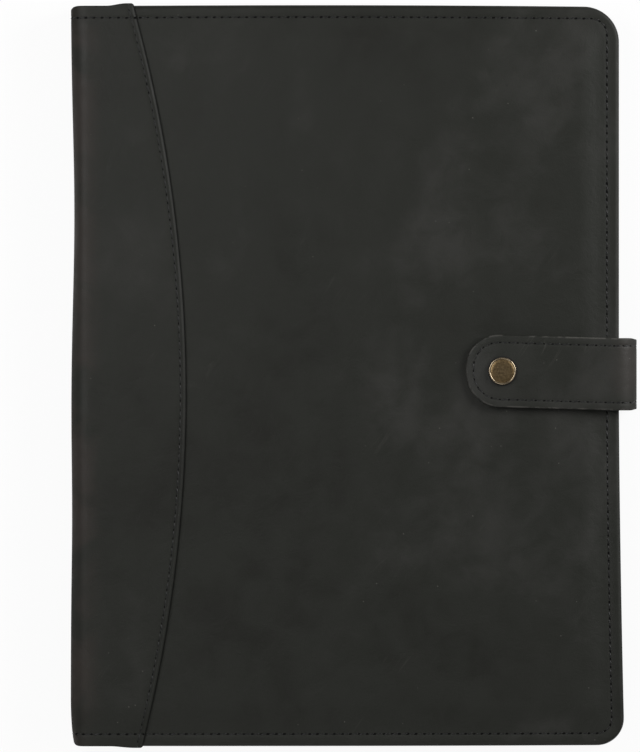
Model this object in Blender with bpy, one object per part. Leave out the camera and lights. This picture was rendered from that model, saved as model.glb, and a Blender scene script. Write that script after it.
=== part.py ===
"""Leather padfolio, closed and snapped shut.

Two board-stiffened leather covers are joined by a leather wrap that folds round the spine. A
strap sewn to the back cover bends round the fore-edge and snaps onto the front cover. Inside
are a writing pad in a sleeve, a pen loop, a document pocket and three card slots.

Lengths are in metres. X runs from the spine to the fore-edge, Y from the foot to the head and
Z from the back cover to the front cover. The origin is under the middle of the closed padfolio.
"""

import math

import bmesh
import bpy
from mathutils import Matrix, Vector

MM = 0.001

# Clearances between pieces that touch on the real object
LAYER_GAP = 0.3 * MM
SNAP_CLEARANCE = 0.3 * MM

# Writing pad, a standard A4 block
PAD_WIDTH = 210.0 * MM
PAD_HEIGHT = 297.0 * MM
PAD_CARD = 0.8 * MM
PAD_PAPER = 4.5 * MM
PAD_SLACK = 0.7 * MM
BINDING_TAPE = 0.4 * MM
BINDING_DEPTH = 18.0 * MM

# Covers: outer leather turned in over a board, and a lining that hides the board
COVER_LEATHER = 1.4 * MM
COVER_BOARD = 1.5 * MM
COVER_LINING = 0.6 * MM
COVER_CORNER = 13.5 * MM
COVER_EDGE_ROUND = 1.0 * MM
HEM_WIDTH = 7.5 * MM
LINING_INSET = 3.0 * MM
HEAD_MARGIN = 35.0 * MM

# Spine wrap: one leather band with a curved wing on each cover
WRAP_LEATHER = 1.2 * MM
SPINE_RADIUS = 7.5 * MM
FOLD_ALLOWANCE = 2.0 * MM
WING_REACH_HEAD = 28.8 * MM
WING_REACH_MIDDLE = 53.2 * MM
WING_REACH_FOOT = 33.0 * MM

# Pad sleeve on the back cover
SLEEVE_LEATHER = 0.9 * MM
SLEEVE_BORDER = 6.0 * MM
SLEEVE_EASE = 2.0 * MM
SLEEVE_HEIGHT = 190.0 * MM

# Pen loop in the gutter beside the pad
PEN_BORE = 9.4 * MM
PEN_LOOP_LEATHER = 0.8 * MM
PEN_LOOP_LENGTH = 32.0 * MM
PEN_LOOP_MARGIN = 1.25 * MM
PEN_LOOP_FLANGE = 1.0 * MM
PEN_LOOP_RISE = 188.5 * MM

# Document pocket and card slots on the front cover
POCKET_LEATHER = 0.9 * MM
POCKET_HEIGHT = 238.0 * MM
SLOT_LEATHER = 0.7 * MM
SLOT_WIDTH = 105.0 * MM
SLOT_HEIGHT = 56.0 * MM
SLOT_STEP = 14.0 * MM
SLOT_FOOT = 128.0 * MM
SLOT_CORNER = 3.0 * MM
SLOT_NAMES = ("card_slot_upper", "card_slot_middle", "card_slot_lower")

# Strap: a leather face with a thinner leather lining
STRAP_WIDTH = 33.5 * MM
STRAP_FACE = 1.2 * MM
STRAP_LINING = 0.8 * MM
STRAP_LOWER_RADIUS = 7.5 * MM
STRAP_UPPER_RADIUS = 12.0 * MM
STRAP_SLACK = 0.5 * MM
STRAP_ABOVE_MIDDLE = 0.8 * MM
STRAP_TILT = math.radians(1.7)
STRAP_ROOT_REACH = 62.0 * MM
STRAP_ROOT_CORNER = 5.0 * MM
TAB_REACH = 71.3 * MM
TAB_CORNER = 14.0 * MM

# Snap fastener: post and stud on the cover, socket and cap on the strap
SNAP_FROM_TIP = 16.8 * MM
CAP_RADIUS = 6.3 * MM
CAP_RIM = 0.5 * MM
CAP_RIM_ROUND = 0.5 * MM
CAP_CROWN = 0.15 * MM
CAP_BARREL_RADIUS = 1.6 * MM
SOCKET_RADIUS = 5.2 * MM
SOCKET_WEB = 0.6 * MM
STUD_FLANGE_RADIUS = 5.0 * MM
STUD_FLANGE = 0.5 * MM
STUD_SHANK_RADIUS = 2.3 * MM
STUD_NECK_RADIUS = 2.5 * MM
STUD_NECK = 0.5 * MM
STUD_HEAD_RADIUS = 3.0 * MM
STUD_HEAD = 1.0 * MM
STUD_HEAD_BEVEL = 0.3 * MM
POST_FLANGE_RADIUS = 5.0 * MM
POST_FLANGE = 0.6 * MM
POST_BARREL_RADIUS = 1.3 * MM

# Fineness of the round stretches
CORNER_STEPS = 8
BEND_STEPS = 6
WING_STEPS = 24
TURN_STEPS = 32
SMOOTH_ANGLE = math.radians(35.0)
HINGE_MARGIN = 0.15 * MM
CUT_MARGIN = 5.0 * MM

# Levels of the back half, upwards from the surface that it lies on
BACK_LEATHER_LOW = max(WRAP_LEATHER, STRAP_FACE) + LAYER_GAP
BACK_LEATHER_HIGH = BACK_LEATHER_LOW + COVER_LEATHER
BACK_BOARD_LOW = BACK_LEATHER_HIGH + LAYER_GAP
BACK_BOARD_HIGH = BACK_BOARD_LOW + COVER_BOARD
BACK_LINING_LOW = BACK_BOARD_HIGH + LAYER_GAP
BACK_LINING_HIGH = BACK_LINING_LOW + COVER_LINING
INSIDE_LOW = BACK_LINING_HIGH + LAYER_GAP
CARD_HIGH = INSIDE_LOW + PAD_CARD
SLEEVE_LOW = CARD_HIGH + LAYER_GAP
SLEEVE_HIGH = SLEEVE_LOW + SLEEVE_LEATHER
PAPER_LOW = SLEEVE_HIGH + LAYER_GAP
PAPER_HIGH = PAPER_LOW + PAD_PAPER
PEN_LOOP_DIAMETER = PEN_BORE + 2 * PEN_LOOP_LEATHER
PEN_LOOP_HIGH = INSIDE_LOW + PEN_LOOP_DIAMETER

# Levels of the front half: it clears the pad and the pen loop
SLOT_LAYER = SLOT_LEATHER + LAYER_GAP
POCKET_STACK = len(SLOT_NAMES) * SLOT_LAYER + POCKET_LEATHER + LAYER_GAP
FRONT_LINING_LOW = max(PAPER_HIGH + PAD_SLACK + POCKET_STACK, PEN_LOOP_HIGH + LAYER_GAP)
FRONT_LINING_HIGH = FRONT_LINING_LOW + COVER_LINING
FRONT_BOARD_LOW = FRONT_LINING_HIGH + LAYER_GAP
FRONT_BOARD_HIGH = FRONT_BOARD_LOW + COVER_BOARD
FRONT_LEATHER_LOW = FRONT_BOARD_HIGH + LAYER_GAP
FRONT_LEATHER_HIGH = FRONT_LEATHER_LOW + COVER_LEATHER
POCKET_HIGH = FRONT_LINING_LOW - LAYER_GAP
POCKET_LOW = POCKET_HIGH - POCKET_LEATHER

# Levels of the spine wrap, the snap and the strap
WRAP_LOW = BACK_LEATHER_LOW - LAYER_GAP - WRAP_LEATHER
WRAP_HIGH = FRONT_LEATHER_HIGH + LAYER_GAP + WRAP_LEATHER
STUD_LOW = FRONT_LEATHER_HIGH + LAYER_GAP
STUD_FLANGE_HIGH = STUD_LOW + STUD_FLANGE
STUD_NECK_HIGH = STUD_FLANGE_HIGH + STUD_NECK
STUD_HIGH = STUD_NECK_HIGH + STUD_HEAD
SOCKET_LOW = STUD_FLANGE_HIGH + SNAP_CLEARANCE
SOCKET_CEILING = STUD_HIGH + SNAP_CLEARANCE
SOCKET_HIGH = SOCKET_CEILING + SOCKET_WEB
TAB_LOW = SOCKET_HIGH + LAYER_GAP
STRAP_HIGH = TAB_LOW + STRAP_LINING + LAYER_GAP + STRAP_FACE
STRAP_LOW = BACK_LEATHER_LOW - LAYER_GAP - STRAP_FACE
CAP_LOW = STRAP_HIGH + LAYER_GAP

# Places along X, from the spine to the outer bend of the strap
POCKET_MARGIN = LINING_INSET + SLEEVE_BORDER + SLEEVE_EASE
PEN_FOOT_WIDTH = PEN_LOOP_DIAMETER + 2 * PEN_LOOP_FLANGE
GUTTER = PEN_FOOT_WIDTH + 2 * PEN_LOOP_MARGIN + SLEEVE_BORDER + SLEEVE_EASE
FOLD_SETBACK = SPINE_RADIUS + FOLD_ALLOWANCE
COVER_WIDTH = FOLD_SETBACK + GUTTER + PAD_WIDTH + POCKET_MARGIN
STRAP_STANDOFF = STRAP_SLACK + STRAP_LOWER_RADIUS
SPINE_X = -(COVER_WIDTH + STRAP_STANDOFF) / 2
COVER_LEFT = SPINE_X + FOLD_SETBACK
FORE_X = SPINE_X + COVER_WIDTH
STRAP_X = FORE_X + STRAP_STANDOFF
PAD_LEFT = COVER_LEFT + GUTTER
PAD_RIGHT = PAD_LEFT + PAD_WIDTH
POCKET_LEFT = PAD_LEFT - SLEEVE_EASE - SLEEVE_BORDER
POCKET_RIGHT = FORE_X - LINING_INSET
TAB_TIP_X = FORE_X - TAB_REACH
TAB_BEND_X = STRAP_X - STRAP_UPPER_RADIUS

# Places along Y, about the middle of the covers
COVER_HEIGHT = POCKET_MARGIN + PAD_HEIGHT + HEAD_MARGIN
HEAD_Y = COVER_HEIGHT / 2
FOOT_Y = -HEAD_Y
PAD_FOOT = FOOT_Y + POCKET_MARGIN
PAD_HEAD = PAD_FOOT + PAD_HEIGHT
POCKET_FOOT = FOOT_Y + LINING_INSET

# Centres of the leather bends, seen along Y, and the axes that they fold about
SPINE_LOWER_BEND = Vector((SPINE_X + SPINE_RADIUS, 0.0, WRAP_LOW + SPINE_RADIUS))
SPINE_UPPER_BEND = Vector((SPINE_X + SPINE_RADIUS, 0.0, WRAP_HIGH - SPINE_RADIUS))
STRAP_LOWER_BEND = Vector((STRAP_X - STRAP_LOWER_RADIUS, 0.0, STRAP_LOW + STRAP_LOWER_RADIUS))
STRAP_UPPER_BEND = Vector((TAB_BEND_X, 0.0, STRAP_HIGH - STRAP_UPPER_RADIUS))


def fold_axis(centre, radius, degrees):
    """Place just outside the middle of a bend, where the leather folds without tearing."""
    reach = radius + HINGE_MARGIN
    angle = math.radians(degrees)
    return centre + Vector((reach * math.cos(angle), 0.0, reach * math.sin(angle)))


def tab_middle(x):
    """Middle line of the strap, which lies at a slight tilt across the front cover."""
    return STRAP_ABOVE_MIDDLE + max(TAB_BEND_X - x, 0.0) * math.tan(STRAP_TILT)


SNAP_X = TAB_TIP_X + SNAP_FROM_TIP
SNAP_Y = tab_middle(SNAP_X)


# Scene, pivots and materials


def clear_scene():
    """Removes everything that the scene starts with."""
    for thing in list(bpy.data.objects):
        bpy.data.objects.remove(thing, do_unlink=True)


def make_material(name, colour, roughness, metallic=0.0):
    """Plain finish of one kind of stuff."""
    material = bpy.data.materials.new(name)
    material.use_nodes = True
    shader = material.node_tree.nodes["Principled BSDF"]
    shader.inputs["Base Color"].default_value = (*colour, 1.0)
    shader.inputs["Roughness"].default_value = roughness
    shader.inputs["Metallic"].default_value = metallic
    return material


def make_materials():
    """Every finish of the padfolio, by name."""
    return {
        "cover_leather": make_material("cover_leather", (0.028, 0.028, 0.025), 0.55),
        "inner_leather": make_material("inner_leather", (0.022, 0.022, 0.020), 0.6),
        "lining_cloth": make_material("lining_cloth", (0.035, 0.035, 0.036), 0.9),
        "board": make_material("board", (0.28, 0.22, 0.15), 0.9),
        "snap_brass": make_material("snap_brass", (0.22, 0.16, 0.09), 0.4, 1.0),
        "pad_card": make_material("pad_card", (0.30, 0.27, 0.22), 0.9),
        "pad_paper": make_material("pad_paper", (0.82, 0.81, 0.76), 0.85),
        "binding_tape": make_material("binding_tape", (0.03, 0.03, 0.032), 0.7),
    }


def add_pivot(name, place, parent=None):
    """Empty on a fold's axis, which carries the pieces of one moving body."""
    pivot = bpy.data.objects.new(name, None)
    pivot.empty_display_size = CAP_RADIUS
    bpy.context.scene.collection.objects.link(pivot)
    pivot.parent = parent
    base = parent.matrix_world.translation if parent else Vector()
    pivot.location = Vector(place) - base
    bpy.context.view_layer.update()
    return pivot


def add_piece(name, bm, material, pivot):
    """One named solid on a pivot, from geometry that is drawn in its place."""
    bmesh.ops.recalc_face_normals(bm, faces=bm.faces)
    bmesh.ops.translate(bm, verts=bm.verts, vec=-pivot.matrix_world.translation)
    mesh = bpy.data.meshes.new(name)
    bm.to_mesh(mesh)
    bm.free()
    mesh.shade_smooth()
    mesh.set_sharp_from_angle(angle=SMOOTH_ANGLE)
    mesh.materials.append(material)
    piece = bpy.data.objects.new(name, mesh)
    bpy.context.scene.collection.objects.link(piece)
    piece.parent = pivot
    return piece


def cut(piece, label, bm):
    """Cuts a shape that is drawn in place out of a piece."""
    cutter = add_piece(f"{piece.name}_{label}_cutter", bm, piece.data.materials[0], piece.parent)
    cutter.hide_render = True
    cutter.display_type = "WIRE"
    boolean = piece.modifiers.new(label, "BOOLEAN")
    boolean.operation = "DIFFERENCE"
    boolean.object = cutter


# Shapes


def arc(centre, radius, start, end, steps):
    """Points (a, b) on an arc in a plane, from one angle to another, in degrees."""
    points = []
    for step in range(steps + 1):
        angle = math.radians(start + (end - start) * step / steps)
        points.append((centre[0] + radius * math.cos(angle), centre[1] + radius * math.sin(angle)))
    return points


def rounded_outline(x_low, x_high, y_low, y_high, corners):
    """Rectangle with corner radii: foot at the spine, foot at the fore-edge, head, head."""
    places = ((x_low, y_low, 1, 1, 180), (x_high, y_low, -1, 1, 270))
    places += ((x_high, y_high, -1, -1, 0), (x_low, y_high, 1, -1, 90))
    outline = []
    for (x, y, inward_x, inward_y, start), radius in zip(places, corners):
        if radius > 0:
            centre = (x + inward_x * radius, y + inward_y * radius)
            outline += arc(centre, radius, start, start + 90, CORNER_STEPS)
        else:
            outline.append((x, y))
    return outline


def slab(outline, z_low, z_high):
    """Flat sheet: an outline in X and Y, extruded from one level to another."""
    bm = bmesh.new()
    face = bm.faces.new([bm.verts.new((x, y, z_low)) for x, y in outline])
    grown = bmesh.ops.extrude_face_region(bm, geom=[face])
    raised = [item for item in grown["geom"] if isinstance(item, bmesh.types.BMVert)]
    bmesh.ops.translate(bm, verts=raised, vec=(0.0, 0.0, z_high - z_low))
    return bm


def loft(sections):
    """Skin over closed sections of equal count, with the first and the last one capped."""
    bm = bmesh.new()
    rings = [[bm.verts.new(point) for point in section] for section in sections]
    for ring, following in zip(rings, rings[1:]):
        for near in range(len(ring)):
            far = (near + 1) % len(ring)
            bm.faces.new((ring[near], ring[far], following[far], following[near]))
    bm.faces.new(rings[0])
    bm.faces.new(rings[-1])
    return bm


def extruded(profile, y_low, y_high):
    """Section in X and Z, run from one place to another along Y."""
    return loft([[(x, y, z) for x, z in profile] for y in (y_low, y_high)])


def turned(profile, closed):
    """Solid of revolution about the snap's axis, from (radius, z) points."""
    bm = bmesh.new()
    points = [bm.verts.new((SNAP_X + radius, SNAP_Y, z)) for radius, z in profile]
    pairs = list(zip(points, points[1:]))
    if closed:
        pairs.append((points[-1], points[0]))
    edges = [bm.edges.new(pair) for pair in pairs]
    bmesh.ops.spin(
        bm,
        geom=points + edges,
        cent=(SNAP_X, SNAP_Y, 0.0),
        axis=(0.0, 0.0, 1.0),
        angle=2 * math.pi,
        steps=TURN_STEPS,
        use_merge=True,
    )
    bmesh.ops.remove_doubles(bm, verts=bm.verts, dist=0.01 * MM)
    return bm


def snap_hole(radius, z_low, z_high):
    """Round cutter on the snap's axis."""
    bm = bmesh.new()
    middle = Matrix.Translation((SNAP_X, SNAP_Y, (z_low + z_high) / 2))
    bmesh.ops.create_cone(
        bm,
        cap_ends=True,
        segments=TURN_STEPS,
        radius1=radius,
        radius2=radius,
        depth=z_high - z_low,
        matrix=middle,
    )
    return bm


def bend_gap(inner_radius):
    """Half of the angle, in degrees, that parts two pieces of leather at the middle of a bend."""
    return math.degrees(math.asin(LAYER_GAP / 2 / inner_radius))


# Covers


def cover_outline(inset):
    """Outline of a cover, drawn in by an inset on the head, fore-edge and foot."""
    corner = max(COVER_CORNER - inset, LAYER_GAP)
    return rounded_outline(
        COVER_LEFT, FORE_X - inset, FOOT_Y + inset, HEAD_Y - inset, (0, corner, corner, 0)
    )


def board_bed(inset):
    """Outline of the bed inside the turned hem, or of the board in it, open towards the spine."""
    corner = max(COVER_CORNER - HEM_WIDTH - inset, LAYER_GAP)
    left = COVER_LEFT - (CUT_MARGIN if inset == 0 else 0)
    reach = HEM_WIDTH + inset
    return rounded_outline(
        left, FORE_X - reach, FOOT_Y + reach, HEAD_Y - reach, (0, corner, corner, 0)
    )


def add_cover(side, hem, bed, board, lining, materials, pivot):
    """Outer leather with its turned hem, the board in the hem, and the lining over both."""
    leather_piece = add_piece(
        f"{side}_cover_leather", slab(cover_outline(0), *hem), materials["cover_leather"], pivot
    )
    rounding = leather_piece.modifiers.new("edge_round", "BEVEL")
    rounding.width = min(COVER_EDGE_ROUND, (hem[1] - hem[0]) / 3)
    rounding.segments = 3
    rounding.limit_method = "ANGLE"
    rounding.angle_limit = SMOOTH_ANGLE
    cut(leather_piece, "bed", slab(board_bed(0), *bed))
    board_piece = add_piece(
        f"{side}_cover_board", slab(board_bed(LAYER_GAP), *board), materials["board"], pivot
    )
    add_piece(
        f"{side}_cover_lining",
        slab(cover_outline(LINING_INSET), *lining),
        materials["lining_cloth"],
        pivot,
    )
    return leather_piece, board_piece


def add_back_cover(materials, pivot):
    """Back cover: its hem and board bed face upwards."""
    add_cover(
        "back",
        (BACK_LEATHER_LOW, BACK_BOARD_HIGH),
        (BACK_LEATHER_HIGH, BACK_BOARD_HIGH + CUT_MARGIN),
        (BACK_BOARD_LOW, BACK_BOARD_HIGH),
        (BACK_LINING_LOW, BACK_LINING_HIGH),
        materials,
        pivot,
    )


def add_front_cover(materials, pivot):
    """Front cover: its hem and board bed face downwards, and the snap's post goes through it."""
    leather_piece, board_piece = add_cover(
        "front",
        (FRONT_BOARD_LOW, FRONT_LEATHER_HIGH),
        (FRONT_BOARD_LOW - CUT_MARGIN, FRONT_LEATHER_LOW),
        (FRONT_BOARD_LOW, FRONT_BOARD_HIGH),
        (FRONT_LINING_LOW, FRONT_LINING_HIGH),
        materials,
        pivot,
    )
    hole = (FRONT_BOARD_LOW - CUT_MARGIN, FRONT_LEATHER_HIGH + CUT_MARGIN)
    cut(leather_piece, "snap_hole", snap_hole(STUD_SHANK_RADIUS + SNAP_CLEARANCE, *hole))
    cut(board_piece, "post_relief", snap_hole(POST_FLANGE_RADIUS + SNAP_CLEARANCE, *hole))


# Spine wrap


def wing_edge(y):
    """Place along X of a wing's curved edge: a circle through its head, middle and foot."""
    rise = WING_REACH_HEAD - WING_REACH_FOOT
    chord = SPINE_X + (WING_REACH_HEAD + WING_REACH_FOOT) / 2 + rise * y / COVER_HEIGHT
    bulge = WING_REACH_MIDDLE - (WING_REACH_HEAD + WING_REACH_FOOT) / 2
    radius = (HEAD_Y**2 + bulge**2) / (2 * bulge)
    return chord + bulge - radius + math.sqrt(radius**2 - y**2)


def spine_arc(centre, inset, start, end):
    """Arc of a spine bend, at an inset from the wrap's outer face."""
    return arc((centre.x, centre.z), SPINE_RADIUS - inset, start, end, BEND_STEPS)


def add_wing(name, centre, flat_z, middle, flat_angle, materials, pivot):
    """Wing that lies on a cover, with its half of the bend that leads to the spine."""
    gap = bend_gap(SPINE_RADIUS - WRAP_LEATHER)
    turn = gap if flat_angle > middle else -gap
    outer = spine_arc(centre, 0, middle + turn, flat_angle)
    inner = spine_arc(centre, WRAP_LEATHER, flat_angle, middle + turn)
    inner_z = inner[0][1]
    sections = []
    for step in range(WING_STEPS + 1):
        y = FOOT_Y + COVER_HEIGHT * step / WING_STEPS
        profile = outer + [(wing_edge(y), flat_z), (wing_edge(y), inner_z)] + inner
        sections.append([(x, y, z) for x, z in profile])
    add_piece(name, loft(sections), materials["cover_leather"], pivot)


def spine_profile(inset, thickness):
    """Section of the spine between the middles of its two bends, as one even layer."""
    gap = bend_gap(SPINE_RADIUS - inset - thickness)
    outer = spine_arc(SPINE_UPPER_BEND, inset, 135 + gap, 180)
    outer += spine_arc(SPINE_LOWER_BEND, inset, 180, 225 - gap)
    inner = spine_arc(SPINE_LOWER_BEND, inset + thickness, 225 - gap, 180)
    inner += spine_arc(SPINE_UPPER_BEND, inset + thickness, 180, 135 + gap)
    return outer + inner


def add_spine(materials, pivot):
    """Leather of the spine, and the cloth that lines it between the covers."""
    wrap = extruded(spine_profile(0, WRAP_LEATHER), FOOT_Y, HEAD_Y)
    add_piece("spine_wrap", wrap, materials["cover_leather"], pivot)
    lining = spine_profile(WRAP_LEATHER + LAYER_GAP, COVER_LINING)
    lined = extruded(lining, FOOT_Y + LINING_INSET, HEAD_Y - LINING_INSET)
    add_piece("spine_lining", lined, materials["lining_cloth"], pivot)


# Inside of the back cover


def add_pad_sleeve(materials, pivot):
    """Sleeve that takes the pad's back card: a panel with a border sewn down on three sides."""
    corner = max(COVER_CORNER - LINING_INSET, LAYER_GAP)
    top = POCKET_FOOT + SLEEVE_HEIGHT
    outline = rounded_outline(POCKET_LEFT, POCKET_RIGHT, POCKET_FOOT, top, (0, corner, 0, 0))
    panel = slab(outline, INSIDE_LOW, SLEEVE_HIGH)
    sleeve = add_piece("pad_sleeve", panel, materials["inner_leather"], pivot)
    room = rounded_outline(
        PAD_LEFT - SLEEVE_EASE,
        PAD_RIGHT + SLEEVE_EASE,
        PAD_FOOT - SLEEVE_EASE,
        top + CUT_MARGIN,
        (0, 0, 0, 0),
    )
    cut(sleeve, "card_room", slab(room, INSIDE_LOW - CUT_MARGIN, SLEEVE_LOW))


def add_pen_loop(materials, pivot):
    """Leather loop for a pen, on a flat foot that is sewn to the lining."""
    radius = PEN_LOOP_DIAMETER / 2
    left = COVER_LEFT + PEN_LOOP_MARGIN
    right = left + PEN_FOOT_WIDTH
    centre = ((left + right) / 2, INSIDE_LOW + radius)
    foot_high = INSIDE_LOW + PEN_LOOP_LEATHER
    dip = math.degrees(math.asin((radius - PEN_LOOP_LEATHER) / radius))
    profile = [(left, INSIDE_LOW), (right, INSIDE_LOW), (right, foot_high)]
    profile += arc(centre, radius, -dip, 180 + dip, 3 * CORNER_STEPS)
    profile += [(left, foot_high)]
    y_low = POCKET_FOOT + PEN_LOOP_RISE - PEN_LOOP_LENGTH / 2
    y_high = y_low + PEN_LOOP_LENGTH
    loop = add_piece("pen_loop", extruded(profile, y_low, y_high), materials["inner_leather"], pivot)
    bore = arc(centre, PEN_BORE / 2, 0, 360, 4 * CORNER_STEPS)[:-1]
    cut(loop, "bore", extruded(bore, y_low - CUT_MARGIN, y_high + CUT_MARGIN))


# Inside of the front cover


def add_document_pocket(materials, pivot):
    """Pocket panel that is sewn to the lining at the spine side, the foot and the fore-edge."""
    corner = max(COVER_CORNER - LINING_INSET, LAYER_GAP)
    top = POCKET_FOOT + POCKET_HEIGHT
    outline = rounded_outline(POCKET_LEFT, POCKET_RIGHT, POCKET_FOOT, top, (0, corner, 0, 0))
    panel = slab(outline, POCKET_LOW, POCKET_HIGH)
    add_piece("document_pocket", panel, materials["inner_leather"], pivot)


def add_card_slots(materials, pivot):
    """Card slots on the pocket: each one ends a step lower than the one behind it."""
    middle = (POCKET_LEFT + POCKET_RIGHT) / 2
    foot = POCKET_FOOT + SLOT_FOOT
    corners = (SLOT_CORNER,) * 4
    for layer, name in enumerate(SLOT_NAMES):
        top = foot + SLOT_HEIGHT + (len(SLOT_NAMES) - 1 - layer) * SLOT_STEP
        high = POCKET_LOW - LAYER_GAP - layer * SLOT_LAYER
        sides = (middle - SLOT_WIDTH / 2, middle + SLOT_WIDTH / 2)
        outline = rounded_outline(*sides, foot, top, corners)
        panel = slab(outline, high - SLOT_LEATHER, high)
        add_piece(name, panel, materials["inner_leather"], pivot)


# Strap


def strap_station(centre, radius, degrees, y_low, y_high):
    """Place on a strap bend: outer point and outward direction, with the strap's two edges."""
    angle = math.radians(degrees)
    outward = Vector((math.cos(angle), 0.0, math.sin(angle)))
    return centre + radius * outward, outward, y_low, y_high


def bend_stations(centre, radius, start, end):
    """Stations round a strap bend, where the strap runs square to the fore-edge."""
    stations = []
    for step in range(BEND_STEPS + 1):
        degrees = start + (end - start) * step / BEND_STEPS
        edges = (STRAP_ABOVE_MIDDLE - STRAP_WIDTH / 2, STRAP_ABOVE_MIDDLE + STRAP_WIDTH / 2)
        stations.append(strap_station(centre, radius, degrees, *edges))
    return stations


def flat_end_stations(tip_x, corner, z, outward, middle_of):
    """Stations over a flat end of the strap with two round corners, from its tip inwards."""
    stations = []
    for step in range(CORNER_STEPS + 1):
        angle = math.pi / 2 * step / CORNER_STEPS
        x = tip_x + corner * (1 - math.cos(angle))
        half = STRAP_WIDTH / 2 - corner * (1 - math.sin(angle))
        place = Vector((x, 0.0, z))
        stations.append((place, outward, middle_of(x) - half, middle_of(x) + half))
    return stations


def strip(stations, depth, thickness):
    """Even layer of the strap, at a depth below its outer face."""
    sections = []
    for place, outward, y_low, y_high in stations:
        outer = place - depth * outward
        inner = place - (depth + thickness) * outward
        sections.append(
            [
                (outer.x, y_low, outer.z),
                (outer.x, y_high, outer.z),
                (inner.x, y_high, inner.z),
                (inner.x, y_low, inner.z),
            ]
        )
    return loft(sections)


def tab_stations(gap):
    """Strap end on the front cover, with its half of the upper bend."""
    up = Vector((0.0, 0.0, 1.0))
    stations = flat_end_stations(TAB_TIP_X, TAB_CORNER, STRAP_HIGH, up, tab_middle)
    return stations + bend_stations(STRAP_UPPER_BEND, STRAP_UPPER_RADIUS, 90, 45 + gap)


def web_stations(upper_gap, lower_gap):
    """Strap round the fore-edge, between the middles of its two bends."""
    stations = bend_stations(STRAP_UPPER_BEND, STRAP_UPPER_RADIUS, 45 - upper_gap, 0)
    return stations + bend_stations(STRAP_LOWER_BEND, STRAP_LOWER_RADIUS, 0, -45 + lower_gap)


def root_stations(gap):
    """Strap end that is sewn under the back cover, with its half of the lower bend."""
    down = Vector((0.0, 0.0, -1.0))
    tip = FORE_X - STRAP_ROOT_REACH
    stations = flat_end_stations(
        tip, STRAP_ROOT_CORNER, STRAP_LOW, down, lambda x: STRAP_ABOVE_MIDDLE
    )
    return stations + bend_stations(STRAP_LOWER_BEND, STRAP_LOWER_RADIUS, -90, -45 - gap)


def add_strap(materials, back, web, tab):
    """Strap in three parts, with the lining on the two that hang free of the back cover."""
    leather = materials["cover_leather"]
    thick = STRAP_FACE + LAYER_GAP + STRAP_LINING
    upper_gap = bend_gap(STRAP_UPPER_RADIUS - thick)
    lower_gap = bend_gap(STRAP_LOWER_RADIUS - thick)
    lining_depth = STRAP_FACE + LAYER_GAP
    add_piece("strap_root", strip(root_stations(lower_gap), 0, STRAP_FACE), leather, back)
    web_path = web_stations(upper_gap, lower_gap)
    add_piece("strap_web_face", strip(web_path, 0, STRAP_FACE), leather, web)
    web_lining = strip(web_path, lining_depth, STRAP_LINING)
    add_piece("strap_web_lining", web_lining, materials["inner_leather"], web)
    tab_path = tab_stations(upper_gap)
    tab_face = add_piece("strap_tab_face", strip(tab_path, 0, STRAP_FACE), leather, tab)
    tab_lining = add_piece(
        "strap_tab_lining",
        strip(tab_path, lining_depth, STRAP_LINING),
        materials["inner_leather"],
        tab,
    )
    hole = (TAB_LOW - CUT_MARGIN, STRAP_HIGH + CUT_MARGIN)
    for layer in (tab_face, tab_lining):
        cut(layer, "snap_hole", snap_hole(CAP_BARREL_RADIUS + SNAP_CLEARANCE, *hole))


# Snap fastener


def add_snap_cap(brass, pivot):
    """Flat-faced cap with a rounded rim, and the barrel that goes through the strap."""
    shoulder = CAP_LOW + CAP_RIM
    rim = arc((CAP_RADIUS - CAP_RIM_ROUND, shoulder), CAP_RIM_ROUND, 0, 90, BEND_STEPS)
    profile = [(0.0, SOCKET_CEILING), (CAP_BARREL_RADIUS, SOCKET_CEILING)]
    profile += [(CAP_BARREL_RADIUS, CAP_LOW), (CAP_RADIUS, CAP_LOW)]
    profile += rim
    profile += [(0.0, shoulder + CAP_RIM_ROUND + CAP_CROWN)]
    add_piece("snap_cap", turned(profile, closed=False), brass, pivot)


def add_snap_socket(brass, pivot):
    """Ring that closes over the stud's head."""
    cavity = STUD_HEAD_RADIUS + SNAP_CLEARANCE
    bore = CAP_BARREL_RADIUS + SNAP_CLEARANCE
    chamfer = SOCKET_WEB / 2
    profile = [(cavity, SOCKET_LOW), (SOCKET_RADIUS, SOCKET_LOW)]
    profile += [(SOCKET_RADIUS, SOCKET_HIGH - chamfer), (SOCKET_RADIUS - chamfer, SOCKET_HIGH)]
    profile += [(bore, SOCKET_HIGH), (bore, SOCKET_CEILING), (cavity, SOCKET_CEILING)]
    add_piece("snap_socket", turned(profile, closed=True), brass, pivot)


def add_snap_stud(brass, pivot):
    """Stud with a flange on the cover's leather, a waisted neck and a bead-shaped head."""
    bore = POST_BARREL_RADIUS + SNAP_CLEARANCE
    bevel = STUD_HEAD_BEVEL
    profile = [(bore, FRONT_LEATHER_LOW), (STUD_SHANK_RADIUS, FRONT_LEATHER_LOW)]
    profile += [(STUD_SHANK_RADIUS, STUD_LOW), (STUD_FLANGE_RADIUS, STUD_LOW)]
    profile += [(STUD_FLANGE_RADIUS, STUD_FLANGE_HIGH), (STUD_NECK_RADIUS, STUD_FLANGE_HIGH)]
    profile += [(STUD_NECK_RADIUS, STUD_NECK_HIGH), (STUD_HEAD_RADIUS, STUD_NECK_HIGH + bevel)]
    profile += [(STUD_HEAD_RADIUS, STUD_HIGH - bevel), (STUD_HEAD_RADIUS - bevel, STUD_HIGH)]
    profile += [(bore, STUD_HIGH)]
    add_piece("snap_stud", turned(profile, closed=True), brass, pivot)


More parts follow.
